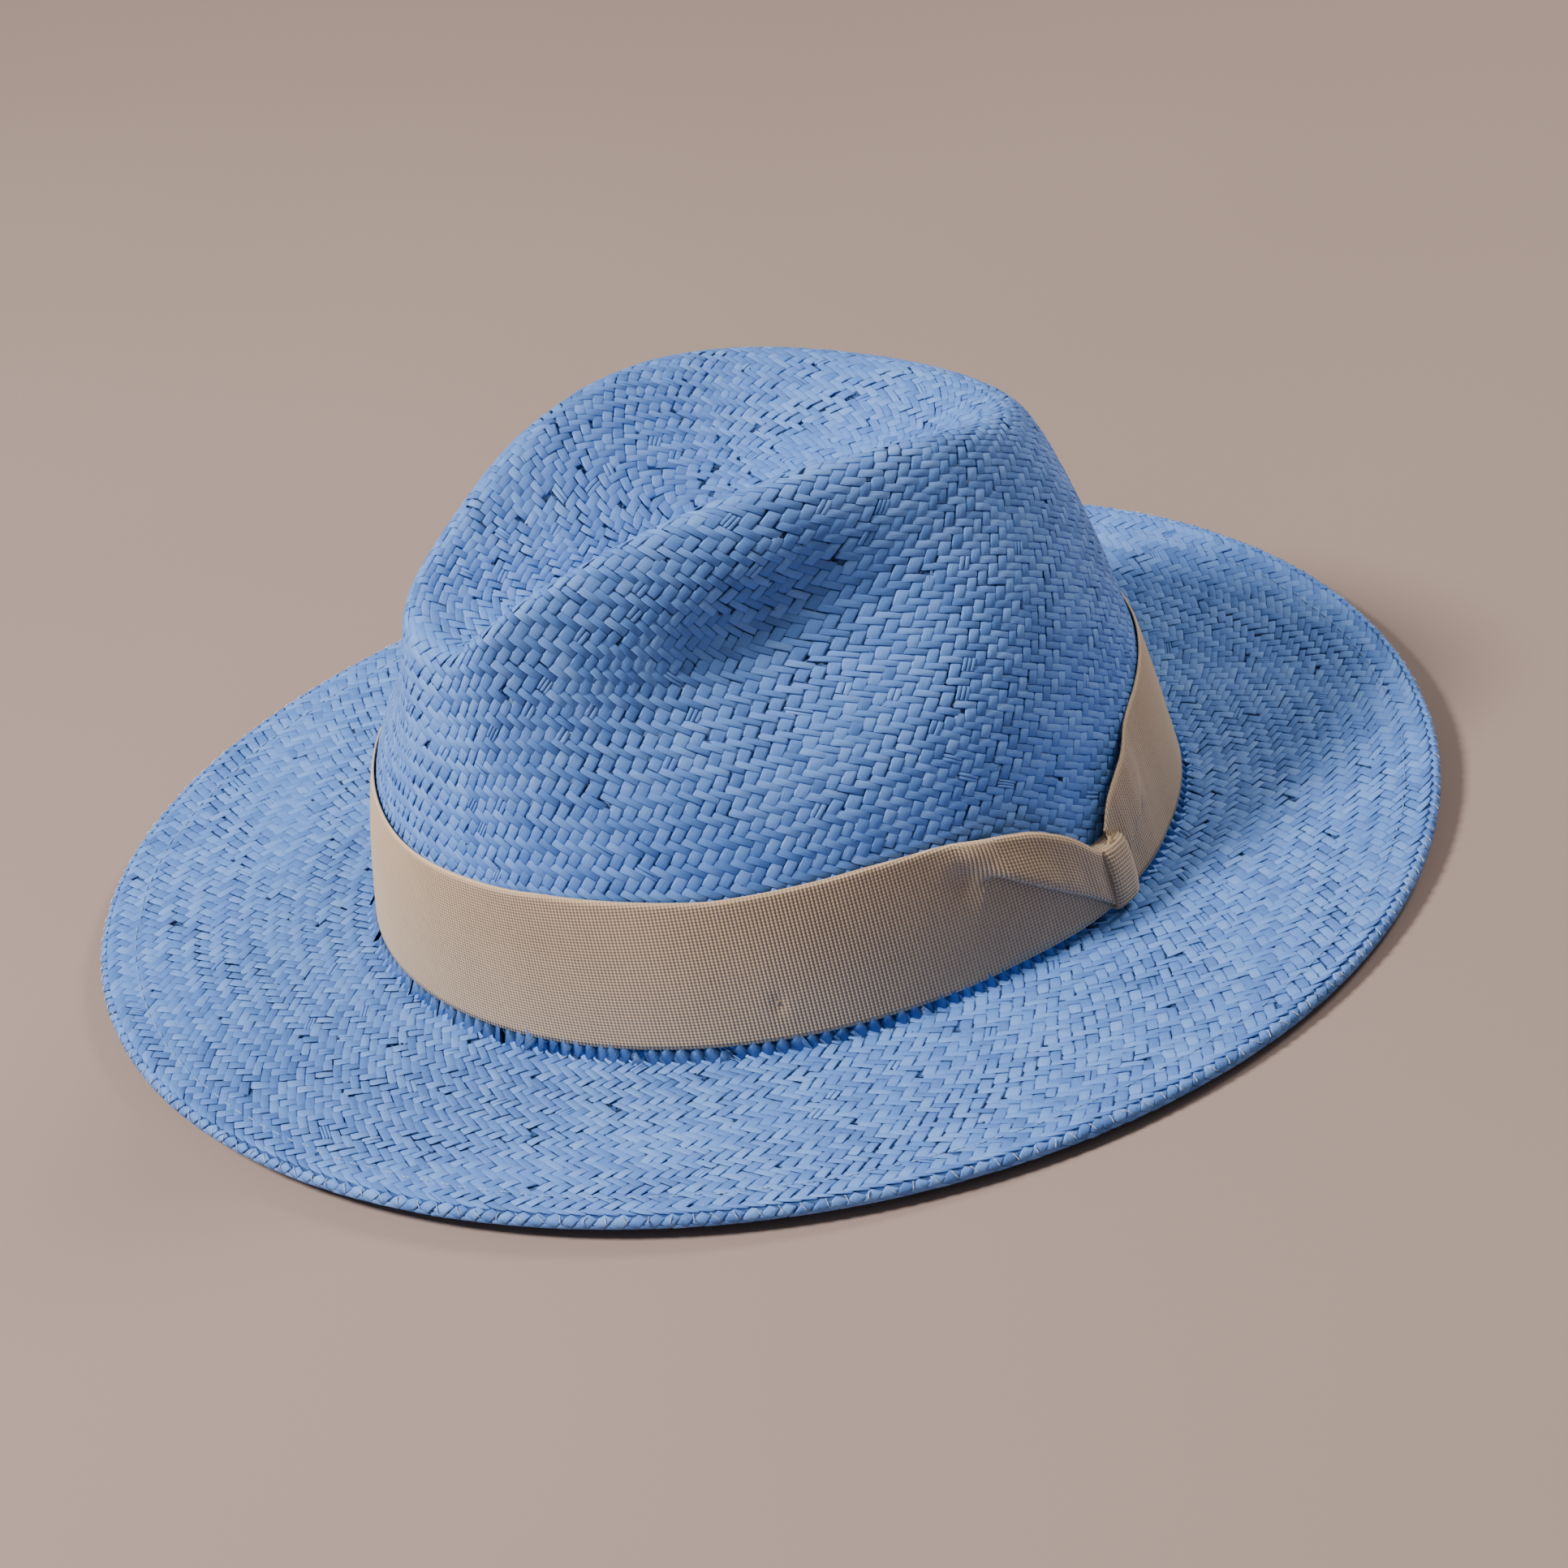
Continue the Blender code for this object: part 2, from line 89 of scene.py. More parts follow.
RIDGE = (
    (0, 0.0, -97.0, 93.0),
    (8, 7.0, -94.0, 97.5),
    (18, 12.5, -83.0, 103.0),
    (30, 18.5, -66.5, 107.0),
    (45, 25.0, -47.0, 109.8),
    (60, 31.5, -29.0, 111.0),
    (75, 37.0, -12.5, 110.8),
    (90, 42.0, 3.5, 109.0),
    (105, 45.5, 19.5, 106.8),
    (120, 46.0, 35.0, 103.5),
    (135, 42.5, 48.0, 101.0),
    (150, 34.0, 59.5, 98.5),
    (165, 19.0, 68.0, 96.5),
    (180, 0.0, 71.0, 96.0),
    (195, -19.0, 68.0, 96.5),
    (210, -34.0, 59.5, 98.5),
    (225, -42.5, 48.0, 101.0),
    (240, -46.5, 35.0, 103.5),
    (255, -47.5, 20.0, 105.5),
    (270, -46.0, 4.0, 107.0),
    (285, -43.0, -12.0, 108.0),
    (300, -39.0, -28.0, 108.0),
    (315, -33.0, -47.0, 106.5),
    (330, -26.5, -67.5, 103.5),
    (342, -20.0, -84.5, 100.0),
    (352, -11.0, -94.5, 95.5),
)
EDGE_HEIGHT = (4.05 * MM, -2.3 * MM, 2.55 * MM, -0.65 * MM)

# Rows of the form: crown, brim, rolled edge with the hem under it.
SIDES = 240
CROWN_ROWS, BRIM_ROWS, HEM_ROWS = 120, 40, 22
# Where a length of straw starts in its repeat, by long or short and by outside or inside.
FLOAT_START = {(True, False): -0.325, (False, False): -0.125,
               (True, True): 0.375, (False, True): 0.175}
UNDER_LIFT = 0.92 * MM  # how far the inside straws lie under the form
# the weave's body under the straws; its dark colour is painted shade of the deep chinks
CHINK_OUT, CHINK_IN = 0.5 * MM, 0.68 * MM  # the dark body's two faces under the form
KNOT_REACH, KNOT_CELLS = 14.5 * MM, 16  # the crown knot's laying sheet
KNOT_RADIUS, KNOT_GAP = 11.4 * MM, 2.15 * MM
LAP = 4  # columns repeated past the closing line of a laying sheet
STATIONS = (0, 1, 2, 3)  # crown's middle, crown's foot, brim's edge, end of the hem
BRIM_MM, HEM_MM = 61.0, 14.1  # what the brim's and the hem's stations measure
LINE_POINTS = 420  # points along a line of the form while it is softened
BAND_RADIUS = 96.0 * MM  # mean radius of the crown where the ribbon lies


# ------------------------------------------------------------------ settings
def length(name, description, value):
    return FloatProperty(name=name, description=description, default=value, unit="LENGTH", precision=5)


def colour(name, description, value):
    return FloatVectorProperty(
        name=name, description=description, subtype="COLOR", size=3, default=value, min=0, max=1
    )


class HatStraw(PropertyGroup):
    pitch: length("Straw pitch", "Distance between straws along a row on the crown", 3.25 * MM)
    brim_pitch: length(
        "Brim straw pitch", "Distance between straws along a row at the brim's edge", 3.4 * MM
    )
    crown_row: length("Crown row", "Distance between rows on the crown", 2.6 * MM)
    brim_row: length("Brim row", "Distance between rows on the brim", 3.0 * MM)
    swell: FloatProperty(
        name="Swell", description="How much a straw's crown swells out of the weave",
        default=1.0, min=0.0, max=2.0, subtype="FACTOR",
    )
    seed: IntProperty(name="Seed", description="Seed of the weave's unevenness", default=11)
    deep: colour("Deep blue", "Darkest straws", (0.050, 0.135, 0.42))
    middle: colour("Middle blue", "Most straws", (0.125, 0.285, 0.74))
    pale: colour("Pale blue", "Lightest straws", (0.245, 0.455, 0.95))


class HatRibbon(PropertyGroup):
    width: length("Ribbon width", "Width of the grosgrain ribbon", 37.5 * MM)
    rib: length("Rib pitch", "Distance between the ribbon's ribs", 0.87 * MM)
    rise: length("Rib height", "Height of a rib over the valley beside it", 0.24 * MM)
    colour: colour("Ribbon colour", "Colour of the ribbon", (0.58, 0.405, 0.25))


class HatLining(PropertyGroup):
    thickness: length("Sweatband thickness", "Thickness of the leather", 0.95 * MM)
    colour: colour("Leather colour", "Colour of the sweatband", (0.20, 0.105, 0.052))


class HatStage(PropertyGroup):
    floor: colour("Floor colour", "Colour of the floor", (0.35, 0.255, 0.215))
    key: FloatProperty(
        name="Key light", description="Power of the large soft light", default=51.0, unit="POWER"
    )
    fill: FloatProperty(
        name="Sky", description="Strength of the even light all round", default=0.22, min=0.0
    )
    lens: FloatProperty(
        name="Lens", description="Focal length of the camera in millimetres", default=96.6
    )


# ------------------------------------------------------------------ the form, as it is blocked
def closed_spline(knots, values, at):
    """Periodic cubic spline through the values, one column each, at the given angles."""
    n = len(knots)
    step = np.diff(np.append(knots, knots[0] + FULL_TURN))
    a = np.zeros((n, n))
    b = np.zeros((n, values.shape[1]))
    slope = (np.roll(values, -1, 0) - values) / step[:, None]
    for i in range(n):
        j = (i - 1) % n
        a[i, j] += step[j]
        a[i, i] += 2 * (step[j] + step[i])
        a[i, (i + 1) % n] += step[i]
        b[i] = 6 * (slope[i] - slope[j])
    bend = np.linalg.solve(a, b)
    at = np.mod(np.asarray(at, float), FULL_TURN)
    k = np.searchsorted(knots, at, side="right") - 1
    h = step[k][:, None]
    u = (at - knots[k])[:, None]
    m0, m1 = bend[k], bend[(k + 1) % n]
    v0 = values[k]
    return v0 + u * (slope[k] - h * (2 * m0 + m1) / 6) + u**2 * m0 / 2 + u**3 * (m1 - m0) / (6 * h)


def ridge(at):
    """Points on the crown's ridge for each angle."""
    rows = np.array(RIDGE, float)
    return closed_spline(np.radians(rows[:, 0]), rows[:, 1:] * MM, at)


def run_length(line):
    """Distance along a polyline at each of its points."""
    return np.append(0, np.cumsum(np.linalg.norm(np.diff(line, axis=0), axis=1)))


def even_points(line, count):
    """Points at even distances along a polyline."""
    run = run_length(line)
    at = np.linspace(0, run[-1], count)
    return np.stack([np.interp(at, run, column) for column in line.T], 1)


def soften(p, gap, sigma, level=False):
    """Even points softened by a bell curve and kept at their ends; level starts them flat."""
    reach = int(4 * sigma / gap) + 1
    bell = np.exp(-((np.arange(-reach, reach + 1) * gap / sigma) ** 2) / 2)
    bell /= bell.sum()
    head = 2 * p[0] - p[reach:0:-1]
    if level:
        head[:, 2] = p[reach:0:-1, 2]
    tail = 2 * p[-1] - p[-2 : -2 - reach : -1]
    full = np.concatenate([head, p, tail])
    return np.stack([np.convolve(column, bell, mode="valid") for column in full.T], 1)


def smooth(line, sigma):
    """A line of the form with its corners rounded."""
    gap = run_length(line)[-1] / (LINE_POINTS - 1)
    return soften(even_points(line, LINE_POINTS), gap, sigma, level=True)


def foot(at):
    """The crown's foot and the outward normal of its oval there."""
    p = np.array([HALF_WIDTH * math.sin(at), -HALF_LENGTH * math.cos(at), -FOOT_DROP])
    n = np.array([p[0] / HALF_WIDTH**2, p[1] / HALF_LENGTH**2, 0.0])
    return p, n / np.linalg.norm(n)


def pinch(p):
    """Pushes the two sides of the crown's front in."""
    y, z = p[:, 1] - PINCH_Y, p[:, 2] - PINCH_Z
    u = y * math.cos(PINCH_TILT) + z * math.sin(PINCH_TILT)
    v = z * math.cos(PINCH_TILT) - y * math.sin(PINCH_TILT)
    push = PINCH_DEPTH * np.exp(-((u / PINCH_LONG) ** 2) - (v / PINCH_HIGH) ** 2)
    push *= np.clip(np.abs(p[:, 0]) / (30 * MM), 0, 1)
    out = p.copy()
    out[:, 0] -= np.sign(p[:, 0]) * push
    return out


def meridian(at):
    """The crown's line, the brim's line and the line round the edge and under it."""
    r = ridge([at])[0]
    base, out = foot(at)
    lam = np.linspace(0, 1, 160)
    front = max(math.cos(at), 0)
    power = 2.0 - 0.5 * front**4
    top = np.empty((160, 3))
    centre = np.array([0, CENTRE_BACK])
    top[:, :2] = centre + lam[:, None] * (r[:2] - centre)
    top[:, 2] = CROWN_SINK + (r[2] - CROWN_SINK) * lam**power
    t = np.linspace(0, 1, 160)[1:]
    side = r + (base - r) * t[:, None]
    way = base[:2] / np.linalg.norm(base[:2])
    lean = np.linalg.norm(base[:2] - r[:2])
    bulge = SIDE_BULGE + FRONT_BULGE * (1 + math.cos(at + BULGE_TURN)) / 2
    side[:, :2] += way * (lean * bulge * (1 - t) * t * (1.25 - 0.5 * t))[:, None]
    back = max(-math.cos(at), 0)
    sigma = RIDGE_ROUND_SIDE + (RIDGE_ROUND_BACK - RIDGE_ROUND_SIDE) * back
    sigma += (RIDGE_ROUND_FRONT - RIDGE_ROUND_SIDE) * front**3
    crown = pinch(smooth(np.concatenate([top, side]), sigma))
    wide = BRIM + BRIM_FRONT_EXTRA * math.cos(at) - BRIM_SIDE_EXTRA * math.cos(2 * at)
    high = sum(h * math.cos(i * at) for i, h in enumerate(EDGE_HEIGHT))
    t = np.linspace(0, 1, 120)[1:]
    flat = base + out * (wide * t)[:, None]
    flat[:, 2] += (high + FOOT_DROP) * t**1.6
    line = smooth(np.concatenate([crown, flat]), BREAK_ROUND)
    along = line[-1] - line[-8]
    along /= np.linalg.norm(along)
    up = np.cross(along, [-out[1], out[0], 0.0])
    if up[2] < 0:
        up = -up
    fold = HEM_GAP / 2 + STRAW
    edge = line[-1] - along * fold
    keep = line[np.linalg.norm(line - line[-1], axis=1) > fold]
    a = np.linspace(math.pi / 2, -math.pi / 2, 13)
    turn = edge - up * fold + fold * (np.cos(a)[:, None] * along + np.sin(a)[:, None] * up)
    under = turn[-1] - along * np.linspace(0.1, 1, 6)[:, None] * HEM
    corner = int(np.argmin(np.linalg.norm(keep - base, axis=1)))
    return keep[: corner + 1], keep[corner:], np.concatenate([keep[-1:], turn, under])


Form = namedtuple("Form", "points normals station walls")


@functools.lru_cache(maxsize=None)
def hat_form():
    """The hat's outside as a net of points, its normals, the station of each row (crown 0 to 1,
    brim 1 to 2, edge and hem 2 to 3) and the crown's lines for finding places by height."""
    net, walls = [], []
    for i in range(SIDES):
        crown, flat, hem = meridian(FULL_TURN * i / SIDES)
        net.append(np.concatenate([
            even_points(crown, CROWN_ROWS + 1),
            even_points(flat, BRIM_ROWS + 1)[1:],
            even_points(hem, HEM_ROWS + 1)[1:],
        ]))
        part = crown[int(np.argmax(crown[:, 2] > 60 * MM)):]
        low = int(np.argmin(np.abs(part[:, 2] - 0.9 * MM + FOOT_DROP)))
        high = int(np.argmax(part[:, 2]))
        walls.append(part[high : low + 1][::-1])
    net = np.array(net)
    across = np.roll(net, -1, 0) - np.roll(net, 1, 0)
    down = np.gradient(net, axis=1)
    normal = np.cross(down, across)
    normal[:, 0] = normal[:, 1].mean(0)
    normal /= np.linalg.norm(normal, axis=2)[:, :, None]
    station = np.concatenate([
        np.linspace(0, 1, CROWN_ROWS + 1),
        1 + np.linspace(0, 1, BRIM_ROWS + 1)[1:],
        2 + np.linspace(0, 1, HEM_ROWS + 1)[1:],
    ])
    return Form(net + STAND, normal, station, walls)


def spot_point(at, station):
    """Points of the form for angles and stations, with the form's normals there."""
    form = hat_form()
    t = np.mod(np.asarray(at, float), FULL_TURN) / FULL_TURN * SIDES
    i = np.floor(t).astype(int)
    f = (t - i)[..., None]
    w = np.interp(station, form.station, np.arange(len(form.station)))
    j = np.clip(np.floor(w).astype(int), 0, len(form.station) - 2)
    g = (w - j)[..., None]
    found = []
    for net in (form.points, form.normals):
        a = net[i % SIDES, j] * (1 - g) + net[i % SIDES, j + 1] * g
        b = net[(i + 1) % SIDES, j] * (1 - g) + net[(i + 1) % SIDES, j + 1] * g
        found.append(a * (1 - f) + b * f)
    return found


def wall_many(at, heights):
    """Points on the outside of the crown's wall at several heights over its foot, at one angle."""
    walls = hat_form().walls
    t = (at % FULL_TURN) / FULL_TURN * SIDES
    i = int(t)
    f = t - i
    out = np.zeros((len(heights), 3))
    for w, share in ((walls[i % SIDES], 1 - f), (walls[(i + 1) % SIDES], f)):
        for c in (0, 1):
            out[:, c] += share * np.interp(heights, w[:, 2], w[:, c])
    out[:, 2] = heights
    return out + STAND


def wall(at, height):
    """A point on the outside of the crown's wall at a height over its foot, and the way out."""
    return wall_many(at, [height])[0], foot(at)[1]


# ------------------------------------------------------------------ mesh helpers
def plain_mesh(name, verts, faces, material=None):
    """An object at the origin from points and faces, shaded smooth."""
    me = bpy.data.meshes.new(name)
    me.from_pydata([tuple(v) for v in verts], [], [tuple(int(k) for k in f) for f in faces])
    me.update()
    me.shade_smooth()
    ob = bpy.data.objects.new(name, me)
    bpy.context.scene.collection.objects.link(ob)
    if material:
        me.materials.append(material)
    return ob


def put_values(mesh, name, kind, values, domain="POINT"):
    """Stores an attribute on a mesh."""
    values = np.asarray(values, np.float32)
    layer = mesh.attributes.new(name, kind, domain)
    layer.data.foreach_set("vector" if kind == "FLOAT_VECTOR" else "value", values.ravel())


def outward(ob):
    """Merges doubles and turns the faces of a closed mesh outwards."""
    bm = bmesh.new()
    bm.from_mesh(ob.data)
    bmesh.ops.remove_doubles(bm, verts=bm.verts, dist=1e-6)
    bmesh.ops.recalc_face_normals(bm, faces=bm.faces)
    bm.to_mesh(ob.data)
    bm.free()
    ob.data.shade_smooth()
    return ob


def ring_faces(rows, columns, closed=True):
    """Quads between rows of points, each row a ring or a strip."""
    last = columns if closed else columns - 1
    return [
        (r * columns + i, (r + 1) * columns + i, (r + 1) * columns + (i + 1) % columns,
         r * columns + (i + 1) % columns)
        for r in range(rows - 1) for i in range(last)
    ]


def laying_sheet(name, points, normals, down):
    """A sheet that pieces are laid on: points by column and row, with its own lay coordinates.

    Columns run once round the hat and are repeated a little past the closing line."""
    count = points.shape[0]
    pick = np.arange(-LAP, count + LAP + 1)
    p = points[pick % count]
    n = normals[pick % count]
    rows = points.shape[1]
    lay = np.zeros((len(pick), rows, 3))
    lay[:, :, 0] = (pick / count)[:, None]
    lay[:, :, 1] = down
    ob = plain_mesh(name, p.reshape(-1, 3), ring_faces(len(pick), rows, closed=False))
    put_values(ob.data, "lay", "FLOAT_VECTOR", lay)
    put_values(ob.data, "up", "FLOAT_VECTOR", n)
    return ob


@functools.lru_cache(maxsize=None)
def form_sheet():
    """The laying sheet of the whole hat; its second coordinate is the station."""
    form = hat_form()
    return laying_sheet("hat_form", form.points, form.normals, form.station)


def float_shape(name, inner):
    """One visible length of straw: swollen along its middle, bent under its neighbours at its
    ends, with rounded edges. u runs along, v across, height in millimetres."""
    along = (-1.2, -0.9, 0.0, 0.9, 1.2)
    high = (-0.3, 0.21, 0.29, 0.21, -0.3)
    across = (-1.0, -0.7, 0.7, 1.0)
    if inner:
        along, high = (-1.25, -0.7, 0.7, 1.25), (-0.4, 0.24, 0.24, -0.4)
        across = (-1.0, 0.0, 1.0)
    verts = []
    for u, h in zip(along, high):
        squeeze = 1.0 if abs(u) < 1 else 0.92
        for v in across:
            edge = 0.17 if abs(v) > 0.9 else 0.0
            verts.append((u, v * squeeze, h - edge))
    n = len(across)
    faces = []
    for r in range(len(along) - 1):
        for c in range(n - 1):
            faces.append((r * n + c, (r + 1) * n + c, (r + 1) * n + c + 1, r * n + c + 1))
    last = (len(along) - 1) * n
    rim = [*range(n), *[r * n + n - 1 for r in range(1, len(along))]]
    rim += [*range(last + n - 2, last - 1, -1), *[r * n for r in range(len(along) - 2, 0, -1)]]
    faces.append(rim)
    return plain_mesh(name, verts, faces)


def thread_shape(name, steps, sides, blunt):
    """A short round thread along u with closed, narrowing ends; v and height make its section."""
    verts, faces = [], []
    for k in range(steps + 1):
        u = -1 + 2 * k / steps
        size = 1.0 if 0 < k < steps else blunt
        for s in range(sides):
            a = FULL_TURN * (s + 0.5) / sides
            verts.append((u, math.cos(a) * size, math.sin(a) * size))
    for k in range(steps):
        for s in range(sides):
            t = (s + 1) % sides
            faces.append((k * sides + s, (k + 1) * sides + s, (k + 1) * sides + t, k * sides + t))
    faces.append(tuple(range(sides)))
    faces.append(tuple(range(steps * sides + sides - 1, steps * sides - 1, -1)))
    return outward(plain_mesh(name, verts, faces))


# ------------------------------------------------------------------ node trees
class Net:
    """Adds nodes to a tree and joins them."""

    def __init__(self, tree):
        self.tree = tree

    def add(self, kind, inputs=None, **settings):
        node = self.tree.nodes.new(kind)
        for key, value in settings.items():
            setattr(node, key, value)
        for key, value in (inputs or {}).items():
            if isinstance(value, bpy.types.NodeSocket):
                self.tree.links.new(value, node.inputs[key])
            else:
                node.inputs[key].default_value = value
        return node

    def named(self, name, kind="FLOAT"):
        return self.add("GeometryNodeInputNamedAttribute", {0: name}, data_type=kind).outputs[0]

    def vector(self, operation, *values):
        return self.add("ShaderNodeVectorMath", dict(enumerate(values)), operation=operation).outputs[0]

    def math(self, operation, *values):
        return self.add("ShaderNodeMath", dict(enumerate(values)), operation=operation).outputs[0]


def node_group(name, sockets):
    """A geometry tree with a geometry in and out and the named inputs."""
    tree = bpy.data.node_groups.new(name, "GeometryNodeTree")
    tree.interface.new_socket("Geometry", in_out="INPUT", socket_type="NodeSocketGeometry")
    for label, kind in sockets:
        tree.interface.new_socket(label, in_out="INPUT", socket_type=kind)
    tree.interface.new_socket("Geometry", in_out="OUTPUT", socket_type="NodeSocketGeometry")
    net = Net(tree)
    return net, net.add("NodeGroupInput").outputs, net.add("NodeGroupOutput")


@functools.lru_cache(maxsize=None)
def laying_tree():
    """Lays a shape at each spot of a sheet, bent to follow it."""
    net, given, result = node_group("lay_on_sheet", (
        ("Sheet", "NodeSocketObject"), ("Shape", "NodeSocketObject"), ("Swell", "NodeSocketFloat"),
        ("Side", "NodeSocketFloat"), ("Material", "NodeSocketMaterial"),
    ))
    sheet = net.add("GeometryNodeObjectInfo", {0: given["Sheet"]}).outputs["Geometry"]
    shape = net.add("GeometryNodeObjectInfo", {0: given["Shape"]}).outputs["Geometry"]
    spread = net.add("GeometryNodeInstanceOnPoints", {0: given["Geometry"], 2: shape}).outputs[0]
    laid = net.add("GeometryNodeRealizeInstances", {0: spread}).outputs[0]
    part = net.add("ShaderNodeSeparateXYZ", {0: net.add("GeometryNodeInputPosition").outputs[0]}).outputs
    spot = net.vector("MULTIPLY_ADD", net.named("along", "FLOAT_VECTOR"), part[0],
                      net.named("spot", "FLOAT_VECTOR"))
    spot = net.vector("MULTIPLY_ADD", net.named("across", "FLOAT_VECTOR"), part[1], spot)
    lay = net.named("lay", "FLOAT_VECTOR")
    found = []
    for value in (net.add("GeometryNodeInputPosition").outputs[0], net.named("up", "FLOAT_VECTOR")):
        probe = net.add("GeometryNodeSampleUVSurface", {0: sheet}, data_type="FLOAT_VECTOR")
        net.tree.links.new(value, probe.inputs[1])
        net.tree.links.new(lay, probe.inputs[2])
        net.tree.links.new(spot, probe.inputs[3])
        found.append(probe.outputs[0])
    size = net.add("ShaderNodeSeparateXYZ", {0: net.named("size", "FLOAT_VECTOR")}).outputs
    rise = net.math("MULTIPLY", net.math("MULTIPLY", part[2], size[2]), given["Swell"])
    tilt = net.math("MULTIPLY_ADD", part[1], net.named("tilt"), net.named("lift"))
    rise = net.math("MULTIPLY", net.math("ADD", rise, tilt), given["Side"])
    place = net.vector("MULTIPLY_ADD", found[1], rise, found[0])
    reach = net.add("ShaderNodeCombineXYZ", {0: net.math("MULTIPLY", part[0], size[0]),
                                             1: net.math("MULTIPLY", part[1], size[1]),
                                             2: net.named("tint")}).outputs[0]
    kept = laid
    for name, kind, value in (("grain", "FLOAT_VECTOR", reach), ("crest", "FLOAT", part[2])):
        kept = net.add("GeometryNodeStoreNamedAttribute", {0: kept, 2: name, 3: value},
                       data_type=kind, domain="POINT").outputs[0]
    moved = net.add("GeometryNodeSetPosition", {0: kept, 2: place}).outputs[0]
    round_off = net.add("GeometryNodeSetShadeSmooth", {0: moved}).outputs[0]
    done = net.add("GeometryNodeSetMaterial", {0: round_off, 2: given["Material"]}).outputs[0]
    net.tree.links.new(done, result.inputs[0])
    return net.tree


@functools.lru_cache(maxsize=None)
def rib_tree():
    """Raises the ribs of a ribbon: each point moves along its own way up by its place in a rib."""
    net, given, result = node_group("raise_ribs", (
        ("Pitch", "NodeSocketFloat"), ("Rise", "NodeSocketFloat"), ("Material", "NodeSocketMaterial"),
    ))
    turn = net.math("MULTIPLY", net.math("DIVIDE", net.named("run"), given["Pitch"]), FULL_TURN)
    wave = net.math("MULTIPLY_ADD", net.math("COSINE", turn), 0.5, 0.5)
    high = net.math("MULTIPLY", net.math("MULTIPLY", wave, net.named("ribbed")), given["Rise"])
    shift = net.vector("SCALE", net.named("up", "FLOAT_VECTOR"))
    net.tree.links.new(high, shift.node.inputs["Scale"])
    moved = net.add("GeometryNodeSetPosition", {0: given["Geometry"], 3: shift}).outputs[0]
    plain = net.add("GeometryNodeRealizeInstances", {0: moved}).outputs[0]
    done = net.add("GeometryNodeSetMaterial", {0: plain, 2: given["Material"]}).outputs[0]
    net.tree.links.new(done, result.inputs[0])
    return net.tree


def grown(ob, tree, drop=(), **values):
    """Runs a tree on an object, keeps the result as its plain mesh and drops spent attributes."""
    mod = ob.modifiers.new("grow", "NODES")
    mod.node_group = tree
    for item in tree.interface.items_tree:
        if item.item_type == "SOCKET" and item.in_out == "INPUT" and item.name in values:
            mod[item.identifier] = values[item.name]
    bpy.context.view_layer.update()
    graph = bpy.context.evaluated_depsgraph_get()
    old = ob.data
    mesh = bpy.data.meshes.new_from_object(ob.evaluated_get(graph), depsgraph=graph)
    ob.modifiers.remove(mod)
    mesh.name = ob.name
    ob.data = mesh
    bpy.data.meshes.remove(old)
    for name in drop:
        if name in mesh.attributes:
            mesh.attributes.remove(mesh.attributes[name])
    return ob


def lay(name, sheet, shape, material, spots, swell=MM, side=1.0):
    """A piece made of one shape laid at every spot of a sheet."""
    count = len(spots["spot"])
    ob = plain_mesh(name, np.zeros((count, 3)), [])
    for key in ("spot", "along", "across", "size"):
        put_values(ob.data, key, "FLOAT_VECTOR", spots[key])
    for key in ("tint", "lift", "tilt"):
        put_values(ob.data, key, "FLOAT", spots[key])
    grown(ob, laying_tree(), drop=("spot", "along", "across", "size", "tint", "lift", "tilt"),
          Sheet=sheet, Shape=shape, Swell=swell, Side=side, Material=material)
    return ob


def place_piece(ob, slot, *nodes):
    """A finished piece rides on the hat and stands for its CAD nodes."""
    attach(ob, "root")
    if nodes:
        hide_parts(*nodes)
    return ob


# ------------------------------------------------------------------ finishes
def finish_of(name, rough, specular=0.5, **constants):
    """A material with its shader; returns the material, its net and the shader."""
    mat = bpy.data.materials.new(name)
    mat.use_nodes = True
    net = Net(mat.node_tree)
    shader = mat.node_tree.nodes["Principled BSDF"]
    shader.inputs["Roughness"].default_value = rough
    shader.inputs["Specular IOR Level"].default_value = specular
    for key, value in constants.items():
        shader.inputs[key.replace("_", " ")].default_value = value
    return mat, net, shader


def attribute(net, name, output="Vector"):
    return net.add("ShaderNodeAttribute", attribute_name=name).outputs[output]


def here(net, scale):
    """Object coordinates, stretched."""
    place = net.add("ShaderNodeTexCoord").outputs["Object"]
    return net.add("ShaderNodeMapping", {0: place, 3: scale}).outputs[0]


def noise(net, vector, scale, detail=3.0, rough=0.5):
    return net.add("ShaderNodeTexNoise", {"Vector": vector, "Scale": scale, "Detail": detail,
                                          "Roughness": rough}).outputs["Fac"]


def ramp(net, value, stops):
    node = net.add("ShaderNodeValToRGB", {0: value})
    line = node.color_ramp
    while len(line.elements) < len(stops):
        line.elements.new(0.5)
    for element, (at, colour) in zip(line.elements, stops):
        element.position = at
        element.color = (*colour, 1)
    return node.outputs[0]


def blended(net, factor, a, b, kind="MIX"):
    node = net.add("ShaderNodeMix", data_type="RGBA", blend_type=kind)
    for key, value in ((0, factor), (6, a), (7, b)):
        if isinstance(value, bpy.types.NodeSocket):
            net.tree.links.new(value, node.inputs[key])
        else:
            node.inputs[key].default_value = value
    return node.outputs[2]


def spread(net, value, low, high, new_low, new_high):
    return net.add("ShaderNodeMapRange", {0: value, 1: low, 2: high, 3: new_low, 4: new_high}).outputs[0]


def bump(net, shader, height, distance, strength=1.0):
    node = net.add("ShaderNodeBump", {"Height": height, "Distance": distance, "Strength": strength})
    net.tree.links.new(node.outputs[0], shader.inputs["Normal"])


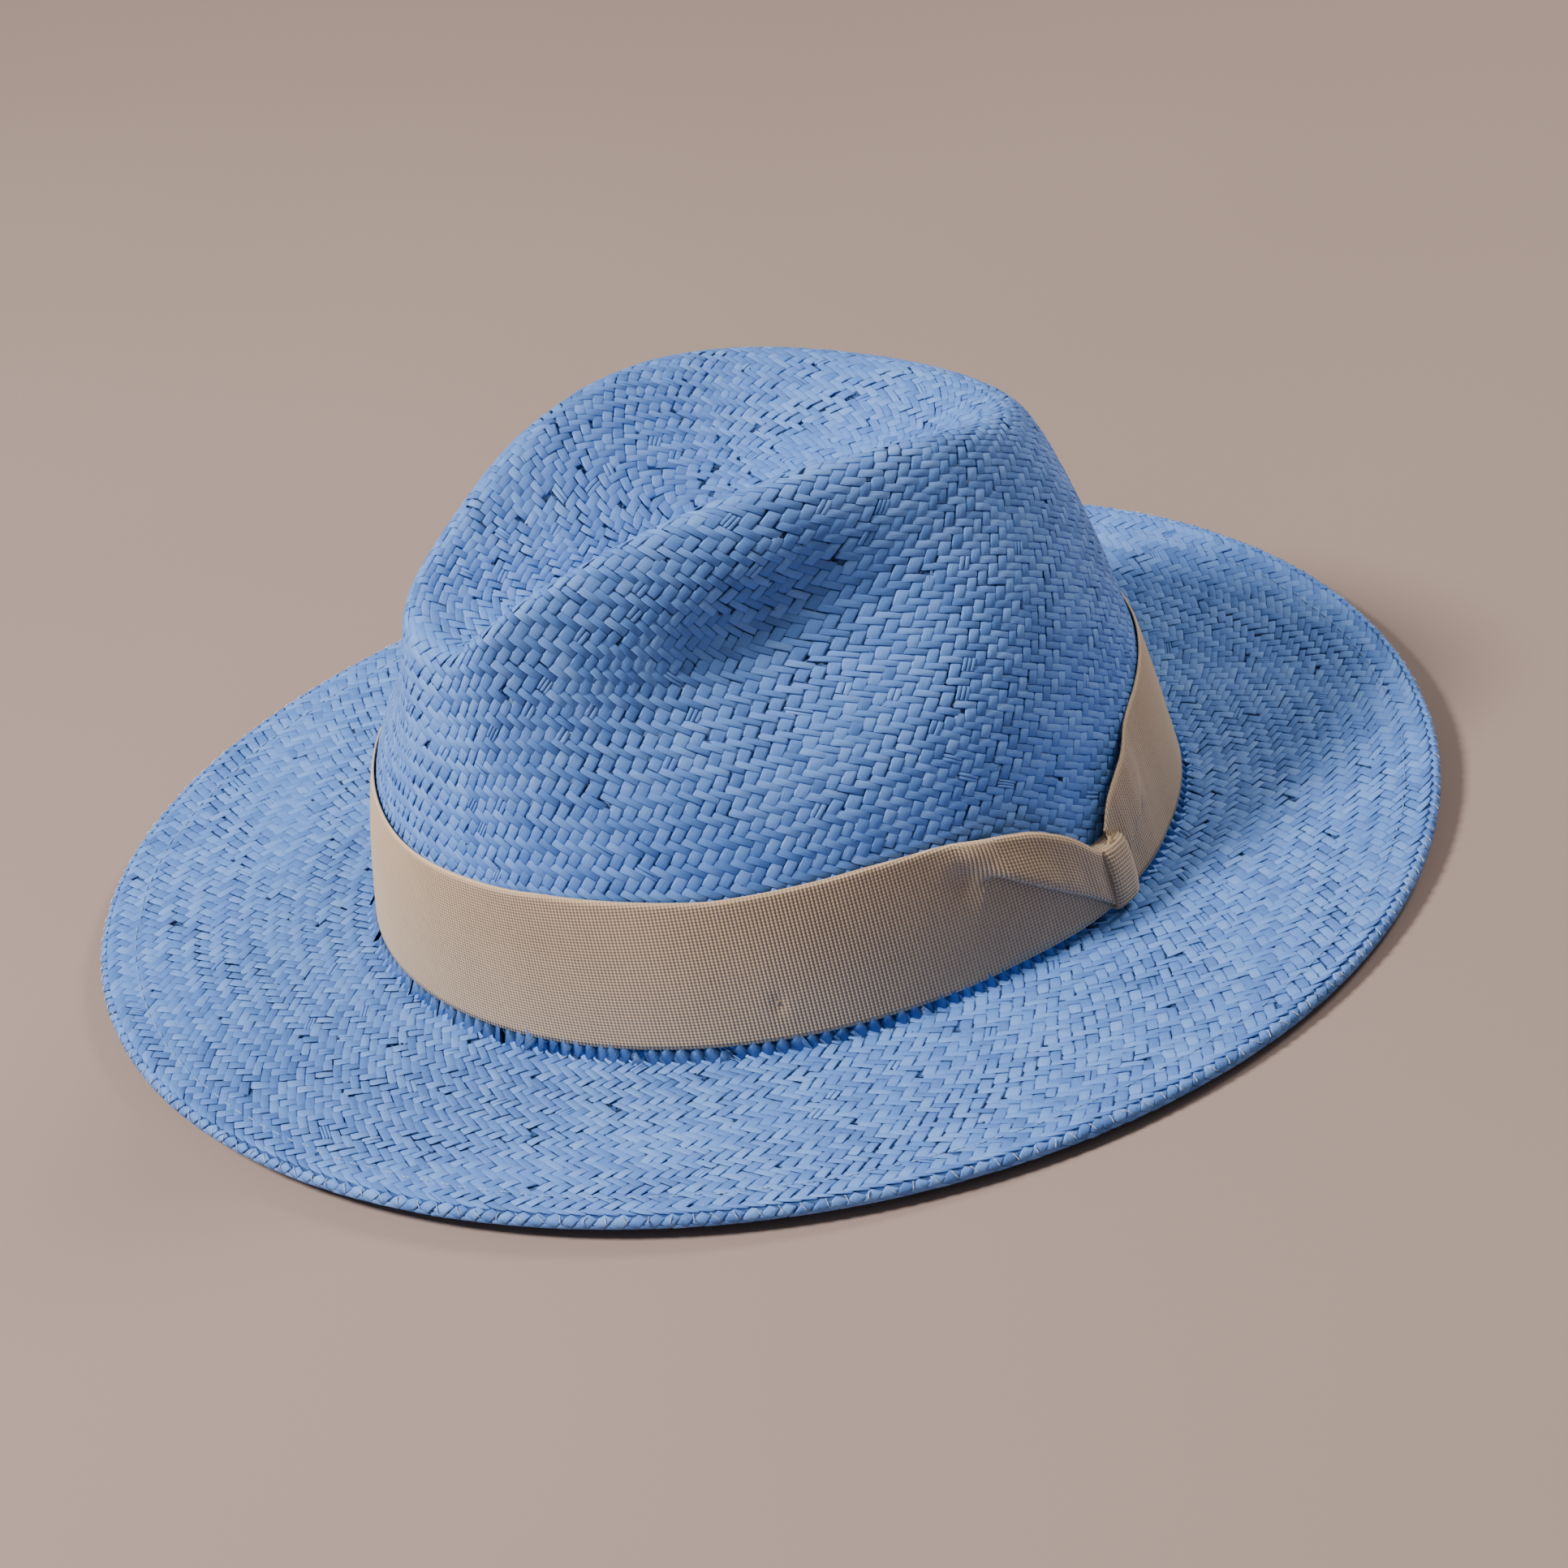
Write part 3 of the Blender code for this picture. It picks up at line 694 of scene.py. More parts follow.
@functools.lru_cache(maxsize=None)
def straw_finish():
    """Dyed straw: each straw its own blue, fine fibres along it, and painted shade darkening it where it
    dips under its neighbours.
    """
    blues = bpy.context.scene.hat_straw
    mat, net, shader = finish_of("dyed_straw", 0.5, 0.34)
    grain = attribute(net, "grain")
    part = net.add("ShaderNodeSeparateXYZ", {0: grain}).outputs
    seed = net.math("MULTIPLY", part[2], 37.0)
    fibre_place = net.add("ShaderNodeCombineXYZ", {
        0: net.math("MULTIPLY", part[0], 0.35), 1: net.math("MULTIPLY", part[1], 4.6), 2: seed,
    }).outputs[0]
    fibre = noise(net, fibre_place, 1.25, 4.0, 0.6)
    blotch = noise(net, here(net, (1, 1, 1)), 140.0, 3.0, 0.55)
    cloud = noise(net, here(net, (1, 1, 1)), 22.0, 2.0, 0.5)
    tone = net.math("MULTIPLY_ADD", fibre, 0.5, net.math("MULTIPLY_ADD", part[2], 0.68, -0.15))
    tone = net.math("MULTIPLY_ADD", cloud, 0.2, net.math("SUBTRACT", tone, 0.2))
    tone = net.math("MULTIPLY_ADD", blotch, 0.28, tone)
    colour = ramp(net, tone, ((0.0, blues.deep), (0.45, blues.middle), (1.0, blues.pale)))
    # painted shade: the straw's colour darkens where it dips under the crossing straws, by the height of
    # the laid shape
    dip_painted_shade = spread(net, attribute(net, "crest", "Fac"), -0.4, 0.12, 0.42, 1.0)
    shade = net.add("ShaderNodeCombineColor", {0: dip_painted_shade, 1: dip_painted_shade, 2: dip_painted_shade}).outputs[0]
    colour = blended(net, 1.0, colour, shade, "MULTIPLY")
    net.tree.links.new(colour, shader.inputs["Base Color"])
    net.tree.links.new(spread(net, fibre, 0.2, 0.8, 0.56, 0.42), shader.inputs["Roughness"])
    bump(net, shader, fibre, 0.16 * MM, 0.9)
    return mat


@functools.lru_cache(maxsize=None)
def chink_shade_finish():
    """The inside of the weave, seen only in the chinks between straws: the weave's own body, coloured dark
    blue as painted shade of the deep chinks.
    """
    mat, net, shader = finish_of("straw_chinks", 0.8, 0.2)
    speck = noise(net, here(net, (1, 1, 1)), 900.0, 2.0)
    # painted shade: dark blues stand in for the shade deep in the chinks, on the weave's real body
    colour = ramp(net, speck, ((0.2, (0.028, 0.07, 0.20)), (0.8, (0.06, 0.14, 0.36))))
    net.tree.links.new(colour, shader.inputs["Base Color"])
    bump(net, shader, speck, 0.2 * MM, 0.6)
    return mat


@functools.lru_cache(maxsize=None)
def ribbon_finish():
    """Corded ribbon: fine beads along each rib, slightly uneven yarn, dull sheen, and painted shade darker
    in the valleys between ribs and lighter on rib and bead crowns.
    """
    colour = bpy.context.scene.hat_ribbon.colour
    mat, net, shader = finish_of("grosgrain", 0.78, 0.3, Sheen_Weight=0.25, Sheen_Roughness=0.5)
    place = attribute(net, "cloth")
    part = net.add("ShaderNodeSeparateXYZ", {0: place}).outputs
    bead = net.math("SINE", net.math("MULTIPLY", part[1], FULL_TURN / (0.72 * MM)))
    bead = net.math("MULTIPLY_ADD", bead, 0.5, 0.5)
    wave = net.math("COSINE", net.math("MULTIPLY", part[0], FULL_TURN))
    rib_shade = net.math("MULTIPLY_ADD", wave, 0.5, 0.5)
    yarn = noise(net, here(net, (1, 1, 1)), 900.0, 3.0, 0.6)
    cloud = noise(net, here(net, (1, 1, 1)), 45.0, 2.0, 0.5)
    # painted shade: the colour follows the raised ribs and the bumped beads, darker in the valleys,
    # lighter on the crowns
    tone = net.math("MULTIPLY_ADD", rib_shade, 0.45, net.math("MULTIPLY", yarn, 0.25))
    tone = net.math("MULTIPLY_ADD", bead, 0.3, tone)
    tone = net.math("MULTIPLY_ADD", cloud, 0.2, net.math("SUBTRACT", tone, 0.1))
    low = tuple(c * 0.34 for c in colour)
    high = tuple(min(c * 1.3, 1) for c in colour)
    paint = ramp(net, tone, ((0.08, low), (0.55, tuple(colour)), (1.0, high)))
    pale = tuple(min(c * 1.5, 1) for c in colour)
    paint = blended(net, net.math("MULTIPLY", part[2], 0.75), paint, (*pale, 1))
    net.tree.links.new(paint, shader.inputs["Base Color"])
    height = net.math("MULTIPLY_ADD", bead, 0.75, net.math("MULTIPLY", yarn, 0.35))
    bump(net, shader, height, 0.14 * MM, 0.9)
    return mat


@functools.lru_cache(maxsize=None)
def thread_finish(name, colour):
    """Twisted sewing thread, with painted shade in the grooves between its plies."""
    mat, net, shader = finish_of(name, 0.6, 0.35, Sheen_Weight=0.15)
    part = net.add("ShaderNodeSeparateXYZ", {0: attribute(net, "grain")}).outputs
    turn = net.math("MULTIPLY_ADD", part[0], 5.5, net.math("MULTIPLY", part[1], 9.0))
    ply = net.math("MULTIPLY_ADD", net.math("SINE", turn), 0.5, 0.5)
    # painted shade: the colour darkens in the grooves between the plies
    paint = ramp(net, ply, ((0.0, tuple(c * 0.55 for c in colour)), (0.7, colour)))
    net.tree.links.new(paint, shader.inputs["Base Color"])
    bump(net, shader, ply, 0.06 * MM, 0.8)
    return mat


@functools.lru_cache(maxsize=None)
def leather_finish():
    """Sweatband leather: fine grain, tiny pores, darker towards its lower edge."""
    colour = bpy.context.scene.hat_lining.colour
    mat, net, shader = finish_of("sweatband_leather", 0.5, 0.45, Coat_Weight=0.06, Coat_Roughness=0.4)
    spot = here(net, (1, 1, 1))
    grain = net.add("ShaderNodeTexVoronoi", {"Vector": spot, "Scale": 1500.0}, feature="F1").outputs[0]
    pores = net.add("ShaderNodeTexVoronoi", {"Vector": spot, "Scale": 420.0}, feature="F1").outputs[0]
    cloud = noise(net, spot, 60.0, 4.0, 0.6)
    wear = noise(net, spot, 14.0, 3.0, 0.5)
    high = net.add("ShaderNodeSeparateXYZ", {0: spot}).outputs[2]
    edge = spread(net, high, 0.0, 7 * MM, 0.55, 1.0)
    light = tuple(min(c * 1.5, 1) for c in colour)
    dark = tuple(c * 0.6 for c in colour)
    paint = ramp(net, net.math("MULTIPLY_ADD", cloud, 0.6, net.math("MULTIPLY", wear, 0.4)),
                 ((0.3, dark), (0.5, tuple(colour)), (0.72, light)))
    shade = net.add("ShaderNodeCombineColor", {0: edge, 1: edge, 2: edge}).outputs[0]
    net.tree.links.new(blended(net, 1.0, paint, shade, "MULTIPLY"), shader.inputs["Base Color"])
    net.tree.links.new(spread(net, cloud, 0.3, 0.7, 0.42, 0.58), shader.inputs["Roughness"])
    bump(net, shader, net.math("MULTIPLY_ADD", pores, 0.5, grain), 0.09 * MM, 0.75)
    return mat


@functools.lru_cache(maxsize=None)
def wire_finish():
    """Drawn steel wire, dull."""
    mat, net, shader = finish_of("brim_wire_steel", 0.35, 0.5, Metallic=1.0)
    streak = noise(net, here(net, (1, 1, 1)), 700.0, 2.0)
    net.tree.links.new(ramp(net, streak, ((0.2, (0.42, 0.43, 0.45)), (0.8, (0.62, 0.63, 0.65)))),
                       shader.inputs["Base Color"])
    net.tree.links.new(spread(net, streak, 0.2, 0.8, 0.3, 0.5), shader.inputs["Roughness"])
    return mat


@functools.lru_cache(maxsize=None)
def reed_finish():
    """The reed: a pale cord wrapped in thin cotton, wound on the slant, with painted shade between the
    wound turns.
    """
    mat, net, shader = finish_of("reed_wrapping", 0.65, 0.3, Sheen_Weight=0.1)
    spot = here(net, (1, 1, 1))
    wound = net.add("ShaderNodeTexWave", {"Vector": spot, "Scale": 420.0, "Distortion": 1.2},
                    wave_type="BANDS", bands_direction="DIAGONAL").outputs["Fac"]
    fuzz = noise(net, spot, 800.0, 3.0)
    # painted shade between the wound turns, mixed with the cotton's own uneven fuzz
    tone = net.math("MULTIPLY_ADD", wound, 0.6, net.math("MULTIPLY", fuzz, 0.4))
    net.tree.links.new(ramp(net, tone, ((0.1, (0.38, 0.34, 0.27)), (0.8, (0.72, 0.68, 0.58)))),
                       shader.inputs["Base Color"])
    bump(net, shader, tone, 0.08 * MM, 0.8)
    return mat


def floor_finish():
    """Plain pale paper floor with a very faint tooth."""
    colour = bpy.context.scene.hat_stage.floor
    mat, net, shader = finish_of("plain_floor", 0.85, 0.2)
    cloud = noise(net, here(net, (1, 1, 1)), 3.0, 2.0)
    low, high = tuple(c * 0.97 for c in colour), tuple(min(c * 1.03, 1) for c in colour)
    paint = ramp(net, cloud, ((0.3, low), (0.7, high)))
    net.tree.links.new(paint, shader.inputs["Base Color"])
    return mat


# ------------------------------------------------------------------ the weave
START_CROSS = 6.0  # crossings left to the knot of straws at the middle of the crown
LEAN_LONG, LEAN_SHORT = -0.65, 0.35  # straws passed at each crossing by the two families
ROW_SHIFT = 0.6
Floats = namedtuple("Floats", "spot along across size tint lift tilt")


def straw_noise(keys, salt):
    """A steady value from 0 to 1 for each whole number."""
    v = np.sin(keys * 12.9898 + salt * 78.233) * 43758.5453
    return v - np.floor(v)


def slow_waves(at, j, rng):
    """A gentle unevenness that closes round the hat, about -1 to 1."""
    total = np.zeros_like(at)
    for k in range(7):
        turns = rng.integers(2, 17)
        total += np.sin(turns * at + rng.uniform(0.05, 0.4) * j + rng.uniform(0, FULL_TURN)) / 2.6
    return total


@functools.lru_cache(maxsize=None)
def weave():
    """Every visible length of straw, outside and inside, as spots on the form.

    Straws are added one at a time where the rows grow longer, and the rows stay in step round
    each new one."""
    straw = bpy.context.scene.hat_straw
    form = hat_form()
    run = np.append(0, np.cumsum(np.linalg.norm(np.diff(form.points, axis=1), axis=2).mean(0)))
    loop = np.roll(form.points, -1, 0) - form.points
    radius = np.linalg.norm(loop, axis=2).sum(0) / FULL_TURN
    marks = run[[0, CROWN_ROWS, CROWN_ROWS + BRIM_ROWS, len(run) - 1]]
    steps = np.array([straw.crown_row, straw.brim_row, straw.brim_row]) / 2
    crossings = np.append(0, np.cumsum(np.round(np.diff(marks) / steps)))
    whole = crossings[-1]

    fine = np.arange(START_CROSS, whole + 0.1, 0.25)
    fine_station = np.interp(fine, crossings, STATIONS)
    fine_radius = np.interp(fine_station, form.station, radius)
    fine_run = np.interp(fine_station, form.station, run)
    ahead = np.append(0, np.cumsum(np.diff(fine_run) / (fine_radius[1:] + fine_radius[:-1]) * 2))
    pitch = np.interp(fine_station, [1, 2], [straw.pitch, straw.brim_pitch])
    number = np.maximum.accumulate(FULL_TURN * fine_radius / pitch) + np.arange(len(fine)) * 1e-6
    first, last = round(number[0]), round(number[-1] - 1)
    births = np.interp(np.arange(first, last) + 0.5, number, fine)
    birth_ahead = np.interp(births, fine, ahead)
    birth_at = FULL_TURN * np.mod(np.arange(len(births)) * (math.sqrt(5) - 1) / 2 + 0.37, 1)
    mean_number = first + len(births) / 2

    grid = np.linspace(0, FULL_TURN, 3073)
    half = (grid[None, :] - birth_at[:, None]) / 2
    cosine, sine = np.cos(half), np.sin(half)
    rng = np.random.default_rng(straw.seed)
    rows = []
    for m in range(1, int(whole / 4) + 2):
        rows.append((4 * m - 2.5, m, False))
        rows.append((4 * m - 0.5, m, True))
    out, inn = [], []
    for j, m, long_row in rows:
        if j < START_CROSS + 1.6 or j > whole - 1.7:
            continue
        now = np.interp(j, fine, ahead)
        lift = np.tanh((now - birth_ahead) / 2)[:, None]
        turned = np.arctan2(cosine * lift, sine).sum(0)
        phase = np.unwrap(mean_number * grid - turned) / FULL_TURN
        count = round(phase[-1] - phase[0])
        rising = np.maximum.accumulate(phase) + np.arange(len(phase)) * 1e-9
        ahead_rate = np.interp(j + 0.5, fine, ahead) - np.interp(j - 0.5, fine, ahead)
        station_rate = np.interp(j + 0.5, crossings, STATIONS) - np.interp(j - 0.5, crossings, STATIONS)
        for inside in (False, True):
            long_float = long_row != inside
            start = ROW_SHIFT * m + FLOAT_START[long_float, inside]
            whole_part = math.ceil(phase[0] - start) + np.arange(count)
            at = np.interp(whole_part + start, rising, grid)
            z = (at[:, None] - birth_at[None, :] + 1j * (now - birth_ahead)[None, :]) / 2
            sin_z = np.sin(z)
            near = (0.55 * FULL_TURN / count / 2) ** 2
            size2 = np.abs(sin_z) ** 2
            cot = np.cos(z) * np.conj(sin_z) / (size2 + near)
            by_at = (mean_number - cot.imag.sum(1) / 2) / FULL_TURN
            by_at = np.clip(by_at, 0.74 * count / FULL_TURN, 1.32 * count / FULL_TURN)
            by_cross = np.clip(-cot.real.sum(1) / (2 * FULL_TURN) * ahead_rate, -0.45, 0.45)
            vec = []
            for lean in (LEAN_LONG, LEAN_SHORT):
                step = np.zeros((count, 3))
                step[:, 0] = (lean + by_cross) / by_at / FULL_TURN
                step[:, 1] = -station_rate
                vec.append(step)
            along, other = (vec[0], -vec[1]) if long_float else (vec[1], vec[0])
            key = whole_part - 2 * m if long_float else whole_part + 2 * m + 5000
            if inside:
                key = key + 20000
            (inn if inside else out).append((np.full(count, j), at, along, other, key,
                                             np.full(count, long_float), by_at))
    sets = []
    for inside, rows in ((False, out), (True, inn)):
        j, at, along, other, key, long_float, by_at = (np.concatenate(c) for c in zip(*rows))
        rng = np.random.default_rng(straw.seed + inside)
        station = np.interp(j, crossings, STATIONS)
        wave = slow_waves(at, j, rng)
        jitter = rng.uniform(-1, 1, (len(j), 4))
        wide = np.where(long_float, 1.12, 1.04) + 0.1 * (straw_noise(key, 1.7) - 0.5) * 2
        wide = wide + 0.04 * jitter[:, 0]
        spot = np.zeros((len(j), 3))
        spot[:, 0] = (at + (0.05 * jitter[:, 1] + 0.1 * wave) / by_at) / FULL_TURN
        spot[:, 1] = station + (0.1 * jitter[:, 2] + 0.18 * wave) * np.abs(along[:, 1])
        half_across = other * (0.5 * wide)[:, None] * (-1 if inside else 1)
        point, _ = spot_point(at, station)
        a_point, _ = spot_point(at + along[:, 0] * FULL_TURN * 0.5, station + along[:, 1] * 0.5)
        b_point, _ = spot_point(at + other[:, 0] * FULL_TURN * 0.5, station + other[:, 1] * 0.5)
        size = np.stack([
            np.linalg.norm(a_point - point, axis=1) * 2 / MM,
            np.linalg.norm(b_point - point, axis=1) * wide / MM,
            1 + 0.12 * jitter[:, 3],
        ], 1)
        tint = np.clip(0.5 + 0.62 * (straw_noise(key, 3.1) - 0.5) + 0.12 * jitter[:, 0], 0, 1)
        lift = (0.03 * jitter[:, 1] - 0.24) * MM
        tilt = np.where(long_float, 0.06, -0.04) * MM + 0.04 * MM * jitter[:, 2]
        kept = ~hidden(at, station, point, inside)
        fields = [f[kept] for f in (spot, along * 0.99, half_across, size, tint, lift, tilt)]
        split = (straw_noise(key[kept], 9.4) + 0.5 * straw_noise(np.arange(kept.sum()), 4.2)) > 1.34
        if not inside:
            fields = split_straws(fields, split, rng)
        sets.append(Floats(*fields))
    return sets


def split_straws(fields, split, rng):
    """Some straws have split along their length into two or three strands."""
    spot, along, across, size, tint, lift, tilt = fields
    pieces = [[f[~split] for f in fields]]
    rank = np.cumsum(split)[split] % 3
    for strand in (0, 1, 2):
        for parts in (2, 3):
            pick = np.flatnonzero(split)[(rank == 0) if parts == 3 else (rank != 0)]
            if strand >= parts or not len(pick):
                continue
            off = (2 * strand + 1) / parts - 1
            n = len(pick)
            shift = rng.uniform(-0.05, 0.05, n)
            new_size = size[pick] * (1, 0.9 / parts, 1)
            pieces.append([
                spot[pick] + across[pick] * off + along[pick] * shift[:, None],
                along[pick] * rng.uniform(0.93, 1.03, n)[:, None],
                across[pick] * (0.94 / parts), new_size,
                np.clip(tint[pick] + rng.uniform(-0.16, 0.2, n), 0, 1),
                lift[pick] + rng.uniform(-0.05, 0.05, n) * MM, tilt[pick] * 0.3,
            ])
    return [np.concatenate(c) for c in zip(*pieces)]


def hidden(at, station, point, inside):
    """Lengths of straw that the ribbon, the sweatband or the hem covers for good."""
    high = point[:, 2] - STAND[2]
    if inside:
        return ((station < 1.0) & (high < SWEAT_HIGH - 4 * MM)) | (station > 1.875)
    near = np.degrees(np.abs(np.mod(at - BOW_AT + math.pi, FULL_TURN) - math.pi))
    top = np.where(near < 26, KEEPER_HIGH - 7 * MM, BAND_HIGH - 12 * MM)
    return (station < 1.0) & (high > BAND_LOW + 5 * MM) & (high < top)


def picked(floats, mask):
    return {key: value[mask] for key, value in floats._asdict().items()}


# ------------------------------------------------------------------ operators: straw
class HAT_OT_weave(Operator):
    """Weave the straw of the crown, the brim and the rolled edge, outside and inside"""

    bl_idname = "hat.weave"
    bl_label = "Weave Straw"

    def execute(self, context):
        outside, inside = weave()
        outer = float_shape("straw_length", False)
        under = float_shape("straw_length_inside", True)
        swell = context.scene.hat_straw.swell * MM
        station, side = outside.spot[:, 1], inside.spot[:, 1]
        plan = (
            ("straw_crown_top", outside, station < 0.44),
            ("straw_crown_wall", outside, (station >= 0.44) & (station < 1.0)),
            ("straw_brim_top", outside, (station >= 1.0) & (station < 1.95)),
            ("straw_edge_and_hem", outside, station >= 1.95),
            ("straw_crown_lining_side", inside, side < 1.0),
            ("straw_brim_underside", inside, side >= 1.0),
        )
        for name, floats, mask in plan:
            spots = picked(floats, mask)
            if not len(spots["tint"]):
                raise RuntimeError("no straw for " + name)
            shape, way = outer, 1.0
            if floats is inside:
                shape, way = under, -1.0
                spots["lift"] = spots["lift"] + UNDER_LIFT
            ob = lay(name, form_sheet(), shape, straw_finish(), spots, swell, way)
            place_piece(ob, "straw", "straw_body")
        for shape in (outer, under):
            bpy.data.objects.remove(shape, do_unlink=True)
        return {"FINISHED"}


class HAT_OT_chinks(Operator):
    """Make the thin body of the weave that shows in the chinks between straws, coloured dark as painted
    shade of the deep chinks
    """

    bl_idname = "hat.chinks"
    bl_label = "Body of the Weave"

    def execute(self, context):
        form = hat_form()
        pick = np.unique(np.concatenate([np.arange(1, len(form.station), 2), [len(form.station) - 1]]))
        p, n = form.points[::2, pick], form.normals[::2, pick]
        outer = (p - n * CHINK_OUT).transpose(1, 0, 2)
        inner = (p - n * CHINK_IN).transpose(1, 0, 2)[::-1]
        rows = np.concatenate([outer, inner])
        columns = rows.shape[1]
        verts = list(rows.reshape(-1, 3))
        faces = ring_faces(len(rows), columns)
        for row, depth in ((0, CHINK_OUT), (len(rows) - 1, CHINK_IN)):
            pole = len(verts)
            verts.append(form.points[:, 0].mean(0) - np.array([0, 0, depth]))
            base = row * columns
            for i in range(columns):
                j = (i + 1) % columns
                faces.append((pole, base + i, base + j) if row == 0 else (pole, base + j, base + i))
        ob = outward(plain_mesh("straw_chinks", verts, faces, chink_shade_finish()))
        place_piece(ob, "straw", "straw_body")
        return {"FINISHED"}


class HAT_OT_crown_knot(Operator):
    """Plait the small square of crossing straws at the middle of the crown where the weave starts"""

    bl_idname = "hat.crown_knot"
    bl_label = "Crown Knot"

    def execute(self, context):
        n = KNOT_CELLS + 1
        line = np.linspace(-1, 1, n) * KNOT_REACH
        form = hat_form()
        angle = np.linspace(0, FULL_TURN, SIDES, endpoint=False)
        r = ridge(angle)
        way = np.unwrap(np.arctan2(r[:, 0], -(r[:, 1] - CENTRE_BACK)))
        way, angle = np.append(way, way[0] + FULL_TURN), np.append(angle, FULL_TURN)
        points, lay_at = [], []
        for x in line:
            for y in line:
                turn = math.atan2(x, -y) % FULL_TURN
                theta = np.interp(turn, way, angle)
                off = math.hypot(x, y)
                station = np.interp(off, form_reach(theta), form.station[: CROWN_ROWS + 1]) if off else 0.0
                p, _ = spot_point(theta, station)
                points.append((x, y + CENTRE_BACK + STAND[1], p[2]))
                lay_at.append((x, y, 0))
        points = np.array(points).reshape(n, n, 3)
        gx, gy = np.gradient(points, axis=0), np.gradient(points, axis=1)
        up = np.cross(gx, gy)
        up /= np.linalg.norm(up, axis=2)[:, :, None]
        faces = ring_faces(n, n, closed=False)
        sheet = plain_mesh("knot_form", points.reshape(-1, 3), faces)
        put_values(sheet.data, "lay", "FLOAT_VECTOR", lay_at)
        put_values(sheet.data, "up", "FLOAT_VECTOR", up)
        shape = float_shape("knot_length", False)
        rng = np.random.default_rng(5)
        spots = {k: [] for k in Floats._fields}
        turn = math.radians(41)
        a = np.array([math.cos(turn), math.sin(turn), 0]) * KNOT_GAP
        b = np.array([-math.sin(turn), math.cos(turn), 0]) * KNOT_GAP
        for i in range(-6, 7):
            for k in range(-6, 7):
                if math.hypot(i, k) * KNOT_GAP > KNOT_RADIUS:
                    continue
                along, across = (a, b) if (i + k) % 2 else (b, -a)
                spots["spot"].append(a * i + b * k + rng.uniform(-0.08, 0.08, 3) * (MM, MM, 0))
                spots["along"].append(along * 0.52)
                spots["across"].append(across * rng.uniform(0.45, 0.52))
                spots["size"].append((0.52 * KNOT_GAP / MM, 0.48 * KNOT_GAP / MM, 1.0))
                spots["tint"].append(rng.uniform(0.25, 0.75))
                spots["lift"].append(-0.2 * MM)
                spots["tilt"].append(rng.uniform(-0.04, 0.04) * MM)
        spots = {k: np.array(v) for k, v in spots.items()}
        ob = lay("straw_crown_knot", sheet, shape, straw_finish(), spots, MM)
        for spent in (sheet, shape):
            bpy.data.objects.remove(spent, do_unlink=True)
        place_piece(ob, "straw", "straw_body")
        return {"FINISHED"}


def form_reach(theta):
    """How far each crown row lies from the crown's middle, seen from above, at one angle."""
    form = hat_form()
    i = int(theta / FULL_TURN * SIDES) % SIDES
    line = form.points[i, : CROWN_ROWS + 1, :2] - (0, CENTRE_BACK + STAND[1])
    return np.maximum.accumulate(np.hypot(line[:, 0], line[:, 1]))


class HAT_OT_hem_threads(Operator):
    """Sew the hem: running stitches over and under the brim, small loops over the rolled edge"""

    bl_idname = "hat.hem_threads"
    bl_label = "Hem Threads"

    def execute(self, context):
        stitch = thread_shape("stitch", 4, 6, 0.45)
        pale = thread_finish("hem_thread", (0.30, 0.47, 0.74))
        light = thread_finish("edge_thread", (0.72, 0.76, 0.80))
        for name, station, pitch, cad in (
            ("hem_stitches_top", 2 - 6.2 / BRIM_MM, 4.6 * MM, "hem_needle_thread"),
            ("hem_stitches_under", 2 + 11.2 / 14.1, 4.6 * MM, "hem_bobbin_thread"),
        ):
            rng = np.random.default_rng(3)
            count = int(FULL_TURN * 0.154 / pitch)
            spots = thread_spots(count, station, 0.3, 0.16, rng, 0.0)
            spots["lift"][:] = 0.12 * MM
            place_piece(lay(name, form_sheet(), stitch, pale, spots, 0.16 * MM), "thread", cad)
        loop = thread_shape("edge_loop", 8, 5, 0.5)
        rng = np.random.default_rng(4)
        count = int(FULL_TURN * 0.159 / (4.5 * MM))
        spots = thread_spots(count, 2.13, 0.0, 0.09, rng, 0.065)
        spots["lift"][:] = 0.1 * MM
        ob = lay("edge_loops", form_sheet(), loop, light, spots, 0.12 * MM)
        place_piece(ob, "thread", "hem_needle_thread")
        for spent in (stitch, loop):
            bpy.data.objects.remove(spent, do_unlink=True)
        return {"FINISHED"}


def blank_spots(count, lift):
    """Spots for a number of threads that still need their places and sizes."""
    spots = {k: np.zeros((count, 3)) for k in ("spot", "along", "across", "size")}
    for key, value in (("tint", 0.5), ("lift", lift), ("tilt", 0.0)):
        spots[key] = np.full(count, value)
    return spots


def thread_spots(count, station, reach, radius_mm, rng, over):
    """Spots for threads round the hat: reach of each along the row in shares of the pitch, or
    over the edge in stations."""
    at = (np.arange(count) + rng.uniform(-0.08, 0.08, count)) / count
    spots = blank_spots(count, 0.1 * MM)
    spots["spot"][:, 0] = at
    spots["spot"][:, 1] = station + rng.uniform(-0.004, 0.004, count)
    p, _ = spot_point(at * FULL_TURN, np.full(count, station))
    radius = np.linalg.norm(p[:, :2], axis=1)
    if over:
        spots["along"][:, 1] = over
        spots["along"][:, 0] = rng.uniform(-0.1, 0.25, count) / count
        spots["across"][:, 0] = radius_mm * MM / radius / FULL_TURN
        length = over * HEM_MM
    else:
        spots["along"][:, 0] = reach / count * rng.uniform(0.85, 1.1, count)
        spots["across"][:, 1] = -radius_mm / (BRIM_MM if station < 2 else HEM_MM)
        length = reach * FULL_TURN * 0.155 / count / MM
    spots["size"][:] = (length, radius_mm, 1.0)
    return spots


# ------------------------------------------------------------------ operators: ribbon
RIBBON_ROWS = (9, 3, 5, 3, 8)  # points: lower layer, hidden fold, middle layer, fold edge, outer layer
LAYER = 0.85 * MM
RIBBON_THICK = 0.42 * MM


def ease(x):
    x = min(max(x, 0.0), 1.0)
    return x * x * (3 - 2 * x)


